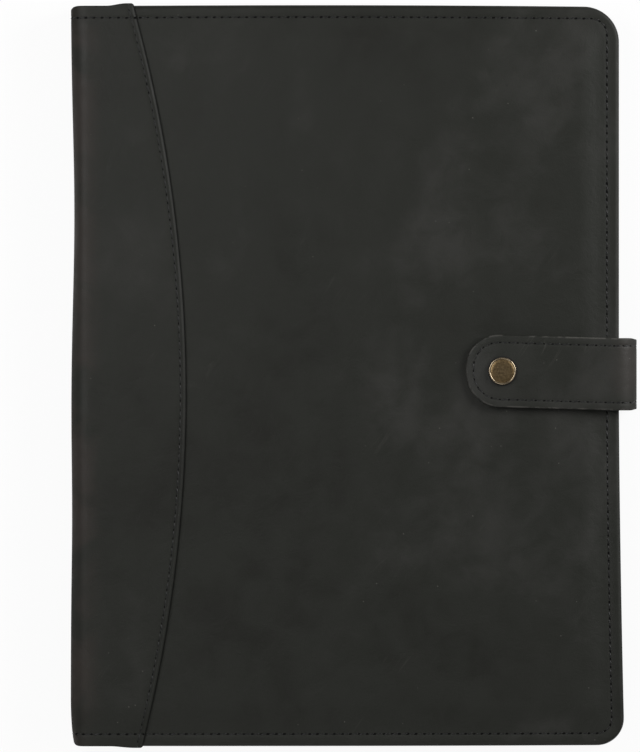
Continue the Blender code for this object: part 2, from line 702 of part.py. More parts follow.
def add_snap_post(brass, pivot):
    """Post with a flange behind the leather and a barrel that holds the stud."""
    profile = [(0.0, FRONT_BOARD_HIGH - POST_FLANGE)]
    profile += [(POST_FLANGE_RADIUS, FRONT_BOARD_HIGH - POST_FLANGE)]
    profile += [(POST_FLANGE_RADIUS, FRONT_BOARD_HIGH), (POST_BARREL_RADIUS, FRONT_BOARD_HIGH)]
    profile += [(POST_BARREL_RADIUS, STUD_HIGH), (0.0, STUD_HIGH)]
    add_piece("snap_post", turned(profile, closed=False), brass, pivot)


# Writing pad


def add_notepad(materials, pivot):
    """Pad: a back card, a block of paper, and a tape that binds both at the head."""
    sides = (PAD_LEFT, PAD_RIGHT)
    square = (0, 0, 0, 0)
    sheet = rounded_outline(*sides, PAD_FOOT, PAD_HEAD, square)
    add_piece("pad_back_card", slab(sheet, INSIDE_LOW, CARD_HIGH), materials["pad_card"], pivot)
    add_piece("pad_paper", slab(sheet, PAPER_LOW, PAPER_HIGH), materials["pad_paper"], pivot)
    tape_low = PAPER_HIGH + LAYER_GAP
    tape_high = tape_low + BINDING_TAPE
    tape_back = PAD_HEAD + LAYER_GAP
    profile = [(PAD_HEAD - BINDING_DEPTH, tape_low), (tape_back, tape_low)]
    profile += [(tape_back, INSIDE_LOW), (tape_back + BINDING_TAPE, INSIDE_LOW)]
    profile += [(tape_back + BINDING_TAPE, tape_high), (PAD_HEAD - BINDING_DEPTH, tape_high)]
    sections = [[(x, y, z) for y, z in profile] for x in sides]
    add_piece("pad_binding", loft(sections), materials["binding_tape"], pivot)


def main():
    """Builds the padfolio, body by body."""
    clear_scene()
    materials = make_materials()
    brass = materials["snap_brass"]
    back = add_pivot("back_cover_pivot", (0.0, 0.0, 0.0))
    spine_axis = fold_axis(SPINE_LOWER_BEND, SPINE_RADIUS, 225)
    spine = add_pivot("spine_fold_pivot", spine_axis, back)
    cover_axis = fold_axis(SPINE_UPPER_BEND, SPINE_RADIUS, 135)
    front = add_pivot("cover_fold_pivot", cover_axis, spine)
    web_axis = fold_axis(STRAP_LOWER_BEND, STRAP_LOWER_RADIUS, -45)
    web = add_pivot("strap_lower_bend_pivot", web_axis, back)
    tab_axis = fold_axis(STRAP_UPPER_BEND, STRAP_UPPER_RADIUS, 45)
    tab = add_pivot("strap_upper_bend_pivot", tab_axis, web)
    pad = add_pivot("pad_slide_pivot", ((PAD_LEFT + PAD_RIGHT) / 2, PAD_FOOT, INSIDE_LOW), back)

    add_back_cover(materials, back)
    add_wing("back_wing", SPINE_LOWER_BEND, WRAP_LOW, 225, 270, materials, back)
    add_pad_sleeve(materials, back)
    add_pen_loop(materials, back)
    add_spine(materials, spine)
    add_front_cover(materials, front)
    add_wing("front_wing", SPINE_UPPER_BEND, WRAP_HIGH, 135, 90, materials, front)
    add_document_pocket(materials, front)
    add_card_slots(materials, front)
    add_snap_stud(brass, front)
    add_snap_post(brass, front)
    add_strap(materials, back, web, tab)
    add_snap_cap(brass, tab)
    add_snap_socket(brass, tab)
    add_notepad(materials, pad)


if __name__ == "__main__":
    main()
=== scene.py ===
"""Leather padfolio: its leather, linings, pockets, snap, writing pad and stitches.

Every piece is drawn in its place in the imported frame, in metres, with the padfolio closed. X runs
from the spine to the fore-edge, Y from the foot to the head and Z from the back to the front.
"""

import bisect
import math

import bmesh
import bpy
from bpy.props import FloatProperty, FloatVectorProperty, IntProperty, PointerProperty
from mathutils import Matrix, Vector, noise
from mathutils.geometry import interpolate_bezier


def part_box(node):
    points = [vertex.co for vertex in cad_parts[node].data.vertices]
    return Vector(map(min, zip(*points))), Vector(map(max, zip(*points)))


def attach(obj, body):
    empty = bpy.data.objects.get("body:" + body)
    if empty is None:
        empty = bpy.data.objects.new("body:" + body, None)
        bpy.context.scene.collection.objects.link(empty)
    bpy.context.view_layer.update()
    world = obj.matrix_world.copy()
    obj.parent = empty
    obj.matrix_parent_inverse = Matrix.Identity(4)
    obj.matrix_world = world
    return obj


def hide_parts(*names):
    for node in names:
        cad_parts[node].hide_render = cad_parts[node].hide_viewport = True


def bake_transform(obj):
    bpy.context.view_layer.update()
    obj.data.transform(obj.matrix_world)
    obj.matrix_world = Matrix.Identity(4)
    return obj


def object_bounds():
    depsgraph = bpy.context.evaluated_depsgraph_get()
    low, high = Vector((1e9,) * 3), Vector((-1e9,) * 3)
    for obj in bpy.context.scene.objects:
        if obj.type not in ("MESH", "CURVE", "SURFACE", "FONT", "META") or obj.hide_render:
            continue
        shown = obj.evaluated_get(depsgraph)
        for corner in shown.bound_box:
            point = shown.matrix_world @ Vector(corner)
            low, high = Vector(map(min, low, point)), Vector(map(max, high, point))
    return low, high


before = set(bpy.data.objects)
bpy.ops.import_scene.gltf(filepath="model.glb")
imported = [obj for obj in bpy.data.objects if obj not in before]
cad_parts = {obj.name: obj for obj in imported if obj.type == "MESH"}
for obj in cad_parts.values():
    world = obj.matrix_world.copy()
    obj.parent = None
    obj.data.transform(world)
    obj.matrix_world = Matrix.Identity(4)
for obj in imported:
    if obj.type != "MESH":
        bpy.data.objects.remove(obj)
CAD_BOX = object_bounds()

bl_info = {
    "name": "Leather padfolio",
    "version": (1, 0, 0),
    "blender": (4, 5, 0),
    "location": "View3D > Sidebar > Padfolio",
    "description": "Builds a leather padfolio with its inside, and a plain studio round it",
    "category": "Add Mesh",
}

MM = 0.001
FAR = 1.0

# Places of the covers, the spine and the strap in the frame
COVER_LEFT, FOOT_Y, FRONT_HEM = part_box("front_cover_leather")[0]
FORE_X, HEAD_Y, FRONT_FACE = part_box("front_cover_leather")[1]
BACK_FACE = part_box("back_cover_leather")[0].z
BACK_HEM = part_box("back_cover_leather")[1].z
SPINE_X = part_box("spine_wrap")[0].x
WRAP_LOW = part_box("back_wing")[0].z
WRAP_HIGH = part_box("front_wing")[1].z
SPINE_MIDDLE = (WRAP_LOW + WRAP_HIGH) / 2
STRAP_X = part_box("strap_web_face")[1].x
STRAP_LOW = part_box("strap_root")[0].z
STRAP_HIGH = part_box("strap_tab_face")[1].z
ROOT_TIP_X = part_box("strap_root")[0].x
TAB_TIP_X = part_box("strap_tab_face")[0].x
STRAP_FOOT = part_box("strap_root")[0].y
STRAP_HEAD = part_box("strap_root")[1].y
STRAP_MIDDLE = (STRAP_FOOT + STRAP_HEAD) / 2
SNAP = (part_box("snap_cap")[0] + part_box("snap_cap")[1]) / 2
CAP_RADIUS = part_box("snap_cap")[1].x - SNAP.x

# Fineness of the meshes
SHARP_ANGLE = math.radians(40.0)
ARC_STEP = math.radians(3.0)
ROW_STEP = 1.0 * MM
LEAST_LINE = 0.06 * MM
LEAST_CORNER = 0.4 * MM
TURN_STEPS = 72
GUTTER_STEPS = 40

# Corners of a sheet that is cut square
SQUARE = ((0.0, 0.0), (0.0, 0.0))


# Settings


def length(name, description, default):
    """Setting that holds a size in metres."""
    return FloatProperty(
        name=name, description=description, default=default, unit="LENGTH", precision=5
    )


def colour(name, description, default):
    """Setting that holds a colour, as linear red, green and blue."""
    return FloatVectorProperty(
        name=name, description=description, default=default, subtype="COLOR", min=0.0, max=1.0
    )


def share(name, description, default):
    """Setting that holds a share of a whole."""
    return FloatProperty(
        name=name, description=description, default=default, subtype="FACTOR", min=0.0, max=1.0
    )


def power(name, description, default):
    """Setting that holds a lamp's power in watts."""
    return FloatProperty(name=name, description=description, default=default, unit="POWER")


def spot(name, description, default):
    """Setting that holds a place in space."""
    return FloatVectorProperty(
        name=name, description=description, default=default, subtype="TRANSLATION", unit="LENGTH"
    )


class CoverSettings(bpy.types.PropertyGroup):
    """Shape of the leather on the two covers."""

    head_corner: length("Head corner", "Radius of the corner at the head of the fore-edge", 16.3 * MM)
    foot_corner: length("Foot corner", "Radius of the corner at the foot of the fore-edge", 12.8 * MM)
    row_inset: length("Row inset", "Distance of the stitches from the edge", 5.6 * MM)
    border_drop: length("Border drop", "How far the sewn fore-edge lies below the middle", 1.7 * MM)
    end_drop: length("End drop", "How far the sewn head and foot lie below the middle", 1.1 * MM)
    pillow_reach: length("Pillow reach", "Width over which the middle rises", 13.0 * MM)
    roll: length("Roll", "Height of the rolled fore-edge above its border", 0.45 * MM)
    end_roll: length("End roll", "Height of the rolled head and foot above their borders", 0.2 * MM)
    roll_inset: length("Roll inset", "Distance of the rolled edge's crest from the rim", 2.2 * MM)
    swell: length("Swell", "Height of the slow waves in the leather", 0.3 * MM)
    swell_size: length("Swell size", "Length of the slow waves in the leather", 60.0 * MM)
    spread: length("Spread", "How far the foot of the fore-edge has spread", 2.6 * MM)
    spread_start: length("Spread start", "Distance below the middle where it starts", 5.0 * MM)
    draw_in: length("Draw in", "How far the fore-edge is drawn in", 0.3 * MM)
    end_draw: length("End draw", "How far head and foot are drawn in at the fore-edge", 0.5 * MM)
    head_bow: length("Head bow", "How far the head bows out in its middle", 0.4 * MM)


class SpineSettings(bpy.types.PropertyGroup):
    """Shape of the leather round the spine and of its wings."""

    leather: length("Leather", "Thickness of the wrap", 1.2 * MM)
    radius: length("Radius", "Outer radius of the two bends", 7.5 * MM)
    row_inset: length("Row inset", "Distance of the stitches from the curved edge", 2.7 * MM)
    edge_swell: length("Edge swell", "Rise of the strip along the curved edge", 0.54 * MM)
    edge_start: length("Edge start", "Distance from the rim where that strip starts", 0.45 * MM)
    edge_crest: length("Edge crest", "Distance from the rim where that strip is highest", 1.0 * MM)
    edge_round: length("Edge round", "Width over which the curved edge rounds over", 1.1 * MM)
    head_proud: length("Head proud", "How far a wing's corner passes the covers at the head", 1.15 * MM)
    foot_proud: length("Foot proud", "How far a wing's corner passes the covers at the foot", 0.75 * MM)
    head_ease: length("Head ease", "How far the spine's head is drawn in", 1.4 * MM)
    foot_ease: length("Foot ease", "How far the spine's foot is drawn in", 1.3 * MM)
    bulge: length("Bulge", "How far the spine's ends stand out", 0.45 * MM)
    foot_tuck: length("Foot tuck", "How far the corner at the spine's foot is tucked in", 1.5 * MM)
    foot_tuck_size: length("Foot tuck size", "Length of the tucked corner", 21.5 * MM)
    dent: length("Dent", "Depth of the upper hollow along the spine", 1.65 * MM)
    dent_place: length("Dent place", "Height of the upper hollow above the middle", 75.0 * MM)
    dent_size: length("Dent size", "Half-length of the upper hollow", 58.0 * MM)
    low_dent: length("Low dent", "Depth of the lower hollow along the spine", 0.6 * MM)
    low_dent_place: length("Low dent place", "Depth of the lower hollow below the middle", 65.0 * MM)
    low_dent_size: length("Low dent size", "Half-length of the lower hollow", 40.0 * MM)


class StrapSettings(bpy.types.PropertyGroup):
    """Shape of the strap."""

    face: length("Face", "Thickness of the outer leather", 1.2 * MM)
    lining: length("Lining", "Thickness of the inner leather", 0.8 * MM)
    lower_radius: length("Lower radius", "Outer radius of the bend at the back cover", 7.5 * MM)
    upper_radius: length("Upper radius", "Outer radius of the bend at the front cover", 11.0 * MM)
    corner: length("Corner", "Radius of the corners at the tip", 15.6 * MM)
    root_corner: length("Root corner", "Radius of the corners at the sewn end", 5.0 * MM)
    row_inset: length("Row inset", "Distance of the stitches from the edge", 3.6 * MM)
    droop: length("Droop", "How far the tip sinks past the snap", 1.9 * MM)
    sag: length("Sag", "How far the strap sinks between the snap and the fore-edge", 1.3 * MM)
    sag_start: length("Sag start", "Distance from the snap over which it starts to sink", 13.0 * MM)
    dimple: length("Dimple", "How far the snap sinks into the leather", 0.25 * MM)
    dimple_size: length("Dimple size", "Half-width of the dimple round the snap", 7.5 * MM)
    pinch: length("Pinch", "How far the strap's edges draw in round the fore-edge", 0.5 * MM)
    pinch_size: length("Pinch size", "Depth of the part whose edges draw in", 1.5 * MM)
    lining_gap: length("Lining gap", "How far the lining stops short of the lower bend's end", 4.5 * MM)


class InsideSettings(bpy.types.PropertyGroup):
    """Shape of the linings, pockets and pen loop."""

    cloth: length("Cloth", "Thickness of the cloth in the gutter", 0.45 * MM)
    row_inset: length("Row inset", "Distance of the stitches from a pocket's edge", 2.6 * MM)
    square_corner: length("Square corner", "Radius of a corner that is cut square", 1.0 * MM)
    pen_leather: length("Pen loop leather", "Thickness of the pen loop", 0.8 * MM)
    pen_fillet: length("Pen loop fillet", "Radius where the loop turns into its foot", 1.5 * MM)
    pen_foot: length("Pen loop foot", "Half-width of the loop's foot", 7.3 * MM)
    sheets: IntProperty(name="Sheets", description="Sheets in the writing pad", default=50)
    rule_pitch: length("Rule pitch", "Distance between the ruled lines", 7.1 * MM)
    rule_head: length("Rule head", "Blank head of a ruled sheet", 40.0 * MM)
    rule_foot: length("Rule foot", "Blank foot of a ruled sheet", 12.0 * MM)
    margin: length("Margin", "Distance of the margin line from the sheet's left edge", 32.0 * MM)


class StitchSettings(bpy.types.PropertyGroup):
    """Sizes of the stitches."""

    cover_pitch: length("Cover pitch", "Distance between stitches round the covers", 3.8 * MM)
    wing_pitch: length("Wing pitch", "Distance between stitches along a wing", 3.97 * MM)
    strap_pitch: length("Strap pitch", "Distance between stitches on the strap", 4.05 * MM)
    pocket_pitch: length("Pocket pitch", "Distance between stitches on the pockets", 3.2 * MM)
    groove: length("Groove", "Depth to which a row pulls the leather in", 0.14 * MM)
    groove_width: length("Groove width", "Half-width of the pulled-in line", 0.8 * MM)
    thread: length("Thread", "Width of the thread", 0.6 * MM)
    thread_share: share("Thread share", "Length of a stitch, as a share of the pitch", 0.78)
    # The needle holes are drawn as dark marks of painted shade; this and the next setting give their
    # widths
    hole: length("Hole", "Width of a needle hole round the covers", 1.05 * MM)
    fine_hole: length("Fine hole", "Width of a needle hole in the wings, strap and pockets", 0.8 * MM)
    stray: length("Stray", "How far a stitch strays along its row", 0.3 * MM)
    slant: FloatProperty(
        name="Slant",
        description="Turn of each stitch out of its row",
        default=math.radians(10.0),
        unit="ROTATION",
    )
    seed: IntProperty(name="Seed", description="Seed of the stitches' small turns", default=7)


class FinishSettings(bpy.types.PropertyGroup):
    """Colours of the finishes, and the sheen of the leather."""

    leather: colour("Leather", "Oiled charcoal leather of the outside", (0.0112, 0.0120, 0.0092))
    leather_dark: colour("Dark leather", "Oily patches of the leather", (0.0072, 0.0074, 0.0053))
    leather_pale: colour("Pale leather", "Smoky patches of the leather", (0.0212, 0.0212, 0.0186))
    leather_warm: colour("Warm leather", "Brownish patches of the leather", (0.0266, 0.0210, 0.0179))
    leather_sheen: share("Leather sheen", "Strength of the sheen on the outside", 0.24)
    bend_sheen: share("Bend sheen", "Strength of the sheen where the leather bends", 0.05)
    # Near-black tone of the dark rims, which are partly dye and partly painted shade, of the painted shade
    # round the snap's cap, and of dark specks
    dye_and_shade: colour("Dye", "Dyed rim of the leather", (0.003, 0.003, 0.003))
    worn: colour("Worn leather", "Rubbed edges, specks and scratches", (0.085, 0.082, 0.074))
    inner: colour("Inner leather", "Leather of the pockets", (0.020, 0.0195, 0.018))
    cloth: colour("Cloth", "Woven lining", (0.024, 0.024, 0.025))
    thread: colour("Thread", "Waxed black thread", (0.006, 0.006, 0.006))
    # Painted shade: near-black colour of the marks that stand for the shaded needle holes
    hole: colour("Hole", "Dark of a needle hole", (0.0015, 0.0015, 0.0015))
    brass: colour("Brass", "Antique brass of the snap", (0.160, 0.112, 0.055))
    brass_dark: colour("Dark brass", "Brown patina of the snap", (0.120, 0.082, 0.040))
    brass_rubbed: colour("Rubbed brass", "Rubbed rim of the snap", (0.36, 0.29, 0.20))
    paper: colour("Paper", "Writing paper", (0.80, 0.79, 0.74))
    rule: colour("Rule", "Ruled lines", (0.36, 0.45, 0.56))
    margin: colour("Margin", "Margin line", (0.55, 0.25, 0.24))
    card: colour("Card", "Grey card behind the pad", (0.27, 0.245, 0.20))
    tape: colour("Tape", "Binding tape of the pad", (0.022, 0.022, 0.024))
    floor: colour("Floor", "Pale floor", (0.86, 0.86, 0.86))


class StageSettings(bpy.types.PropertyGroup):
    """Camera, lamps and floor."""

    lens: FloatProperty(
        name="Lens", description="Focal length in millimetres", default=400.0, unit="CAMERA"
    )
    frame_height: length("Frame height", "Height of the picture at the front cover", 348.25 * MM)
    aim_x: length("Aim X", "Place of the picture's middle along X", -15.83 * MM)
    aim_y: length("Aim Y", "Place of the picture's middle along Y", 0.0)
    world: share("World", "Strength of the even light all round", 0.21)
    key: power("Key", "Power of the lamp on the right", 5.9)
    key_place: spot("Key place", "Place of the lamp on the right", (0.66, 0.30, 0.46))
    fill: power("Fill", "Power of the lamp on the left", 3.1)
    fill_place: spot("Fill place", "Place of the lamp on the left", (-0.42, 0.23, 0.65))
    low: power("Low", "Power of the lamp at the foot", 1.0)
    low_place: spot("Low place", "Place of the lamp at the foot", (-0.1, -0.62, 0.50))
    lamp_size: length("Lamp size", "Side of the square lamps", 0.45)
    floor_gap: length("Floor gap", "Gap between the padfolio and the floor", 0.6 * MM)
    floor_white: share("Floor white", "Share of plain white in the floor as it is seen", 0.92)


class PadfolioSettings(bpy.types.PropertyGroup):
    """Everything that can be set on the padfolio and its stage."""

    cover: PointerProperty(type=CoverSettings)
    spine: PointerProperty(type=SpineSettings)
    strap: PointerProperty(type=StrapSettings)
    inside: PointerProperty(type=InsideSettings)
    stitch: PointerProperty(type=StitchSettings)
    finish: PointerProperty(type=FinishSettings)
    stage: PointerProperty(type=StageSettings)


def settings():
    """Settings of the scene that is being built."""
    return bpy.context.scene.padfolio


# Finishes


class Tree:
    """Node tree that is filled from left to right."""

    def __init__(self, tree):
        self.nodes = tree.nodes
        self.links = tree.links

    def add(self, kind, inputs=None, **values):
        """New node, with its own values set and its inputs fed."""
        made = self.nodes.new(kind)
        for name, value in values.items():
            setattr(made, name, value)
        for socket, value in (inputs or {}).items():
            self.feed(made.inputs[socket], value)
        return made

    def feed(self, socket, value):
        """Links an input to another node's output, or sets its plain value."""
        if isinstance(value, bpy.types.NodeSocket):
            self.links.new(value, socket)
        else:
            socket.default_value = value

    def math(self, operation, first, second=0.0):
        """Result of one sum."""
        return self.add("ShaderNodeMath", {0: first, 1: second}, operation=operation).outputs[0]

    def vector(self, operation, first, second):
        """Result of one sum on places or directions."""
        inputs = {0: first, "Scale" if operation == "SCALE" else 1: second}
        made = self.add("ShaderNodeVectorMath", inputs, operation=operation)
        return made.outputs["Value" if operation == "DISTANCE" else "Vector"]


class Finish(Tree):
    """Material with a Principled shader and textures on object coordinates."""

    def __init__(self, name, roughness=0.5, specular=0.5, metallic=0.0):
        self.material = bpy.data.materials.new(name)
        self.material.use_nodes = True
        super().__init__(self.material.node_tree)
        self.shader = self.nodes["Principled BSDF"]
        self.set("Roughness", roughness)
        self.set("Specular IOR Level", specular)
        self.set("Metallic", metallic)
        self.place = self.add("ShaderNodeTexCoord").outputs["Object"]

    def set(self, socket, value):
        """Feeds one input of the shader."""
        self.feed(self.shader.inputs[socket], value)

    def stretched(self, sizes, turn=0.0):
        """Coordinates that count sizes along X, Y and Z, turned about Z."""
        inputs = {"Vector": self.place, "Scale": sizes, "Rotation": (0.0, 0.0, turn)}
        return self.add("ShaderNodeMapping", inputs, vector_type="TEXTURE").outputs[0]

    def noise(self, size, detail=3.0, roughness=0.55, twist=0.0, vector=None):
        """Cloudy noise whose patches are about as large as size."""
        inputs = {"Vector": vector or self.place, "Scale": 1.0 / size}
        inputs.update({"Detail": detail, "Roughness": roughness, "Distortion": twist})
        return self.add("ShaderNodeTexNoise", inputs).outputs["Fac"]

    def cells(self, size, output="Distance", smooth=False, flat=False):
        """Cellular texture with cells of a size, in space or in the plane of the covers."""
        feature = "SMOOTH_F1" if smooth else "F1"
        made = self.add("ShaderNodeTexVoronoi", {"Scale": 1.0 / size}, feature=feature)
        made.voronoi_dimensions = "2D" if flat else "3D"
        self.feed(made.inputs["Vector"], self.place)
        return made.outputs[output]

    def between(self, value, low, high, to_low=0.0, to_high=1.0):
        """Smooth step from one level to another."""
        inputs = {0: value, 1: low, 2: high, 3: to_low, 4: to_high}
        made = self.add("ShaderNodeMapRange", inputs, interpolation_type="SMOOTHSTEP")
        return made.outputs[0]

    def mix(self, amount, first, second):
        """Blend of two colours."""
        made = self.add("ShaderNodeMix", {0: amount}, data_type="RGBA")
        self.feed(made.inputs[6], opaque(first))
        self.feed(made.inputs[7], opaque(second))
        return made.outputs[2]

    def dull(self, grain, low, high):
        """Roughness that follows a noise over its usual range."""
        self.set("Roughness", self.between(grain, 0.3, 0.7, low, high))

    def grained(self, grain, tone, shades, dull, relief):
        """Colour, roughness and relief that all follow one noise."""
        dark, pale = shades
        self.set("Base Color", self.mix(grain, shade(tone, dark), shade(tone, pale)))
        self.dull(grain, *dull)
        self.set("Normal", self.bump(grain, relief))
        return self.material

    def attribute(self, name):
        """Number stored on the points of the mesh."""
        return self.add("ShaderNodeAttribute", attribute_name=name).outputs["Fac"]

    def bump(self, height, distance, strength=1.0, over=None):
        """Relief of a height in metres, over another relief if there is one."""
        inputs = {"Height": height, "Distance": distance, "Strength": strength}
        if over is not None:
            inputs["Normal"] = over
        return self.add("ShaderNodeBump", inputs).outputs[0]


def opaque(value):
    """Colour with its alpha, or the socket that gives one."""
    if isinstance(value, bpy.types.NodeSocket):
        return value
    return (*tuple(value)[:3], 1.0)


def shade(value, factor):
    """Colour made lighter or darker."""
    return tuple(part * factor for part in value)


# Patches where the leather has dried or taken oil, one of them partly painted light: X and Y in
# millimetres, reach, and how much paler
PATCHES = (
    (74, 85, 70, 0.28),
    (97, 138, 45, 0.22),
    # Paler also as painted light, to lighten the cast shadow of the strap's tip beside it
    (36, -6, 60, 0.40),
    (62, -74, 48, 0.16),
    (-52, 131, 36, 0.14),
    (-43, -49, 48, -0.22),
    (33, -129, 55, -0.20),
    (-62, -104, 48, -0.16),
    (-50, 18, 32, -0.12),
)

# How far the outlines of these patches are drawn out of round
PATCH_SHIFT = 60 * MM


def outer_leather(name, wear=0.0, dye_and_shade=0.0, scratches=0.1, bend=None, warm=0.0, cap_shade=0.0):
    """Smooth oiled leather with a rubbed edge, or a dark rim that is partly dye and partly painted shade.

    bend is the place along X round which the leather turns: it is duller there, and brownish by warm.
    The last argument is a share of painted shade: a dark ring on the leather round the snap's cap, where
    the crevice under its rim falls in shade.
    """
    tones = settings().finish
    finish = Finish(name, specular=tones.leather_sheen)
    patches = finish.noise(15 * MM, detail=5.0, roughness=0.62, twist=0.4)
    tone = smoke(finish, patches)
    base = finish.mix(finish.between(tone, 0.0, 0.5), tones.leather_dark, tones.leather)
    base = finish.mix(finish.between(tone, 0.5, 1.0), base, tones.leather_pale)
    inset = finish.attribute("inset")
    if bend is not None:
        across = finish.add("ShaderNodeSeparateXYZ", {0: finish.place}).outputs["X"]
        away = finish.math("ABSOLUTE", finish.math("SUBTRACT", across, bend))
        base = finish.mix(warmth(finish, away, warm), base, tones.leather_warm)
        sheen = finish.between(away, 0.0, 3.5 * MM, tones.bend_sheen, tones.leather_sheen)
        if dye_and_shade:
            sheen = finish.math("MULTIPLY", sheen, finish.between(inset, 0.5 * dye_and_shade, dye_and_shade, 0.25, 1.0))
        finish.set("Specular IOR Level", sheen)
    base = scratched(finish, specked(finish, base), scratches)
    # Painted shade: a dark ring round the snap's cap, where the crevice under its rim is shaded
    if cap_shade:
        flat = finish.vector("MULTIPLY", finish.place, (1.0, 1.0, 0.0))
        away = finish.vector("DISTANCE", flat, (SNAP.x, SNAP.y, 0.0))
        ring = finish.between(away, CAP_RADIUS + 0.2 * MM, CAP_RADIUS + 0.9 * MM, cap_shade, 0.0)
        base = finish.mix(ring, base, tones.dye_and_shade)

    rub = finish.between(inset, 0.1, 1.0, wear, 0.0)
    broken = finish.between(finish.noise(5.0 * MM, detail=6.0, roughness=0.7), 0.44, 0.60)
    base = finish.mix(finish.math("MULTIPLY", rub, broken), base, tones.worn)
    # Dark rim: partly a dyed edge, partly painted shade where the edge turns away and in the crevice
    # beside the wing's edge
    base = finish.mix(finish.between(inset, 0.5 * dye_and_shade, dye_and_shade, 0.9 if dye_and_shade else 0.0, 0.0), base, tones.dye_and_shade)
    finish.set("Base Color", base)
    finish.dull(patches, 0.48, 0.58)

    pores = finish.between(finish.cells(0.55 * MM, smooth=True), 0.0, 0.55)
    relief = finish.bump(pores, 0.018 * MM)
    relief = finish.bump(finish.noise(1.6 * MM, detail=3.0), 0.05 * MM, over=relief)
    finish.set("Normal", finish.bump(patches, 0.35 * MM, over=relief))
    return finish.material


def smoke(finish, patches):
    """How pale the leather is, from 0 to 1: slow clouds, brushed streaks and worn or oily patches, one of
    them partly painted light.
    """
    clouds = finish.noise(70 * MM, detail=5.0, roughness=0.55, twist=0.6)
    along = finish.stretched((30 * MM, 110 * MM, 30 * MM), math.radians(-25))
    brushed = finish.noise(1.0, detail=4.0, vector=along)
    tone = finish.math("MULTIPLY", clouds, 1.5)
    tone = finish.math("ADD", tone, finish.math("MULTIPLY", patches, 0.6))
    tone = finish.math("ADD", tone, finish.math("MULTIPLY", brushed, 0.6))
    tone = finish.math("SUBTRACT", tone, 0.88)
    inputs = {"Vector": finish.place, "Scale": 1 / (40 * MM), "Detail": 4.0}
    ragged = finish.add("ShaderNodeTexNoise", inputs).outputs["Color"]
    ragged = finish.vector("SUBTRACT", ragged, (0.5, 0.5, 0.5))
    moved = finish.vector("ADD", finish.place, finish.vector("SCALE", ragged, PATCH_SHIFT))
    moved = finish.vector("MULTIPLY", moved, (1.0, 1.0, 0.0))
    for x, y, reach, amount in PATCHES:
        away = finish.vector("DISTANCE", moved, (x * MM, y * MM, 0.0))
        tone = finish.math("ADD", tone, finish.between(away, 0.0, reach * MM, amount, 0.0))
    return tone


def warmth(finish, away, amount):
    """Share of brownish wear, at a distance from a bend."""
    bend = finish.between(away, 3 * MM, 16 * MM, amount, 0.0)
    uneven = finish.between(finish.noise(30 * MM, detail=3.0, twist=0.5), 0.35, 0.60)
    return finish.math("MULTIPLY", bend, uneven)


def specked(finish, base):
    """Colour with tiny pale and dark specks strewn unevenly over it."""
    tones = settings().finish
    grain = finish.between(finish.noise(1.2 * MM, detail=1.0), 0.42, 0.50)
    grain = finish.math("MULTIPLY", grain, finish.between(finish.noise(48 * MM, detail=2.0), 0.44, 0.58))
    for size, tone, amount in ((8 * MM, tones.worn, 0.8), (15 * MM, tones.dye_and_shade, 0.9)):
        chance = finish.between(finish.cells(size, "Color", flat=True), 0.78, 0.80)
        radius = 0.36 * MM / size
        dot = finish.between(finish.cells(size, flat=True), 0.5 * radius, radius, amount, 0.0)
        dot = finish.math("MULTIPLY", finish.math("MULTIPLY", dot, chance), grain)
        base = finish.mix(dot, base, tone)
    return base


def scratched(finish, base, amount):
    """Colour with faint pale hairline scratches in a few places."""
    along = finish.stretched((90 * MM, 5 * MM, 90 * MM), math.radians(55))
    hair = finish.noise(1.0, detail=1.0, vector=along)
    line = finish.math("ABSOLUTE", finish.math("SUBTRACT", hair, 0.5))
    line = finish.between(line, 0.0, 0.012, 1.0, 0.0)
    where = finish.between(finish.noise(24 * MM, detail=2.0), 0.58, 0.72, 0.0, amount)
    return finish.mix(finish.math("MULTIPLY", line, where), base, settings().finish.worn)


def oiled_leather():
    """Leather of the covers."""
    # Its thin dark rim is partly dye and partly painted shade where the turned edge rolls away
    return outer_leather("oiled_leather", dye_and_shade=0.25)


def wrap_leather():
    """Leather round the spine, brownish along the bend, with a dark rim at the wing's edge that is partly
    dye and partly painted shade of the crevice beside it.
    """
    return outer_leather("wrap_leather", dye_and_shade=0.48, bend=SPINE_X, warm=0.8)


def strap_leather():
    """Leather of the strap, whose cut edges are rubbed pale, with painted shade in a ring round the snap's
    cap.
    """
    return outer_leather("strap_leather", 0.7, scratches=0.35, bend=STRAP_X, warm=0.5, cap_shade=0.9)


def pocket_leather():
    """Thin pebbled leather of the pockets and the pen loop."""
    tones = settings().finish
    finish = Finish("pocket_leather", specular=0.4)
    patches = finish.noise(24 * MM, detail=4.0)
    dark, pale = shade(tones.inner, 0.85), shade(tones.inner, 1.2)
    base = finish.mix(finish.between(patches, 0.35, 0.65), dark, pale)
    rub = finish.between(finish.attribute("inset"), 0.1, 0.8, 0.45, 0.0)
    base = finish.mix(rub, base, tones.worn)
    pebbles = finish.cells(0.85 * MM, smooth=True)
    # Painted shade: the creases between the pebbles are darkened
    crease_shade = finish.between(pebbles, 0.3, 0.75, 0.0, 0.3)
    finish.set("Base Color", finish.mix(crease_shade, base, shade(tones.inner, 0.5)))
    finish.set("Roughness", finish.between(pebbles, 0.0, 0.7, 0.46, 0.64))
    relief = finish.bump(pebbles, -0.10 * MM, 0.8)
    finish.set("Normal", finish.bump(finish.noise(0.35 * MM), 0.02 * MM, over=relief))
    return finish.material


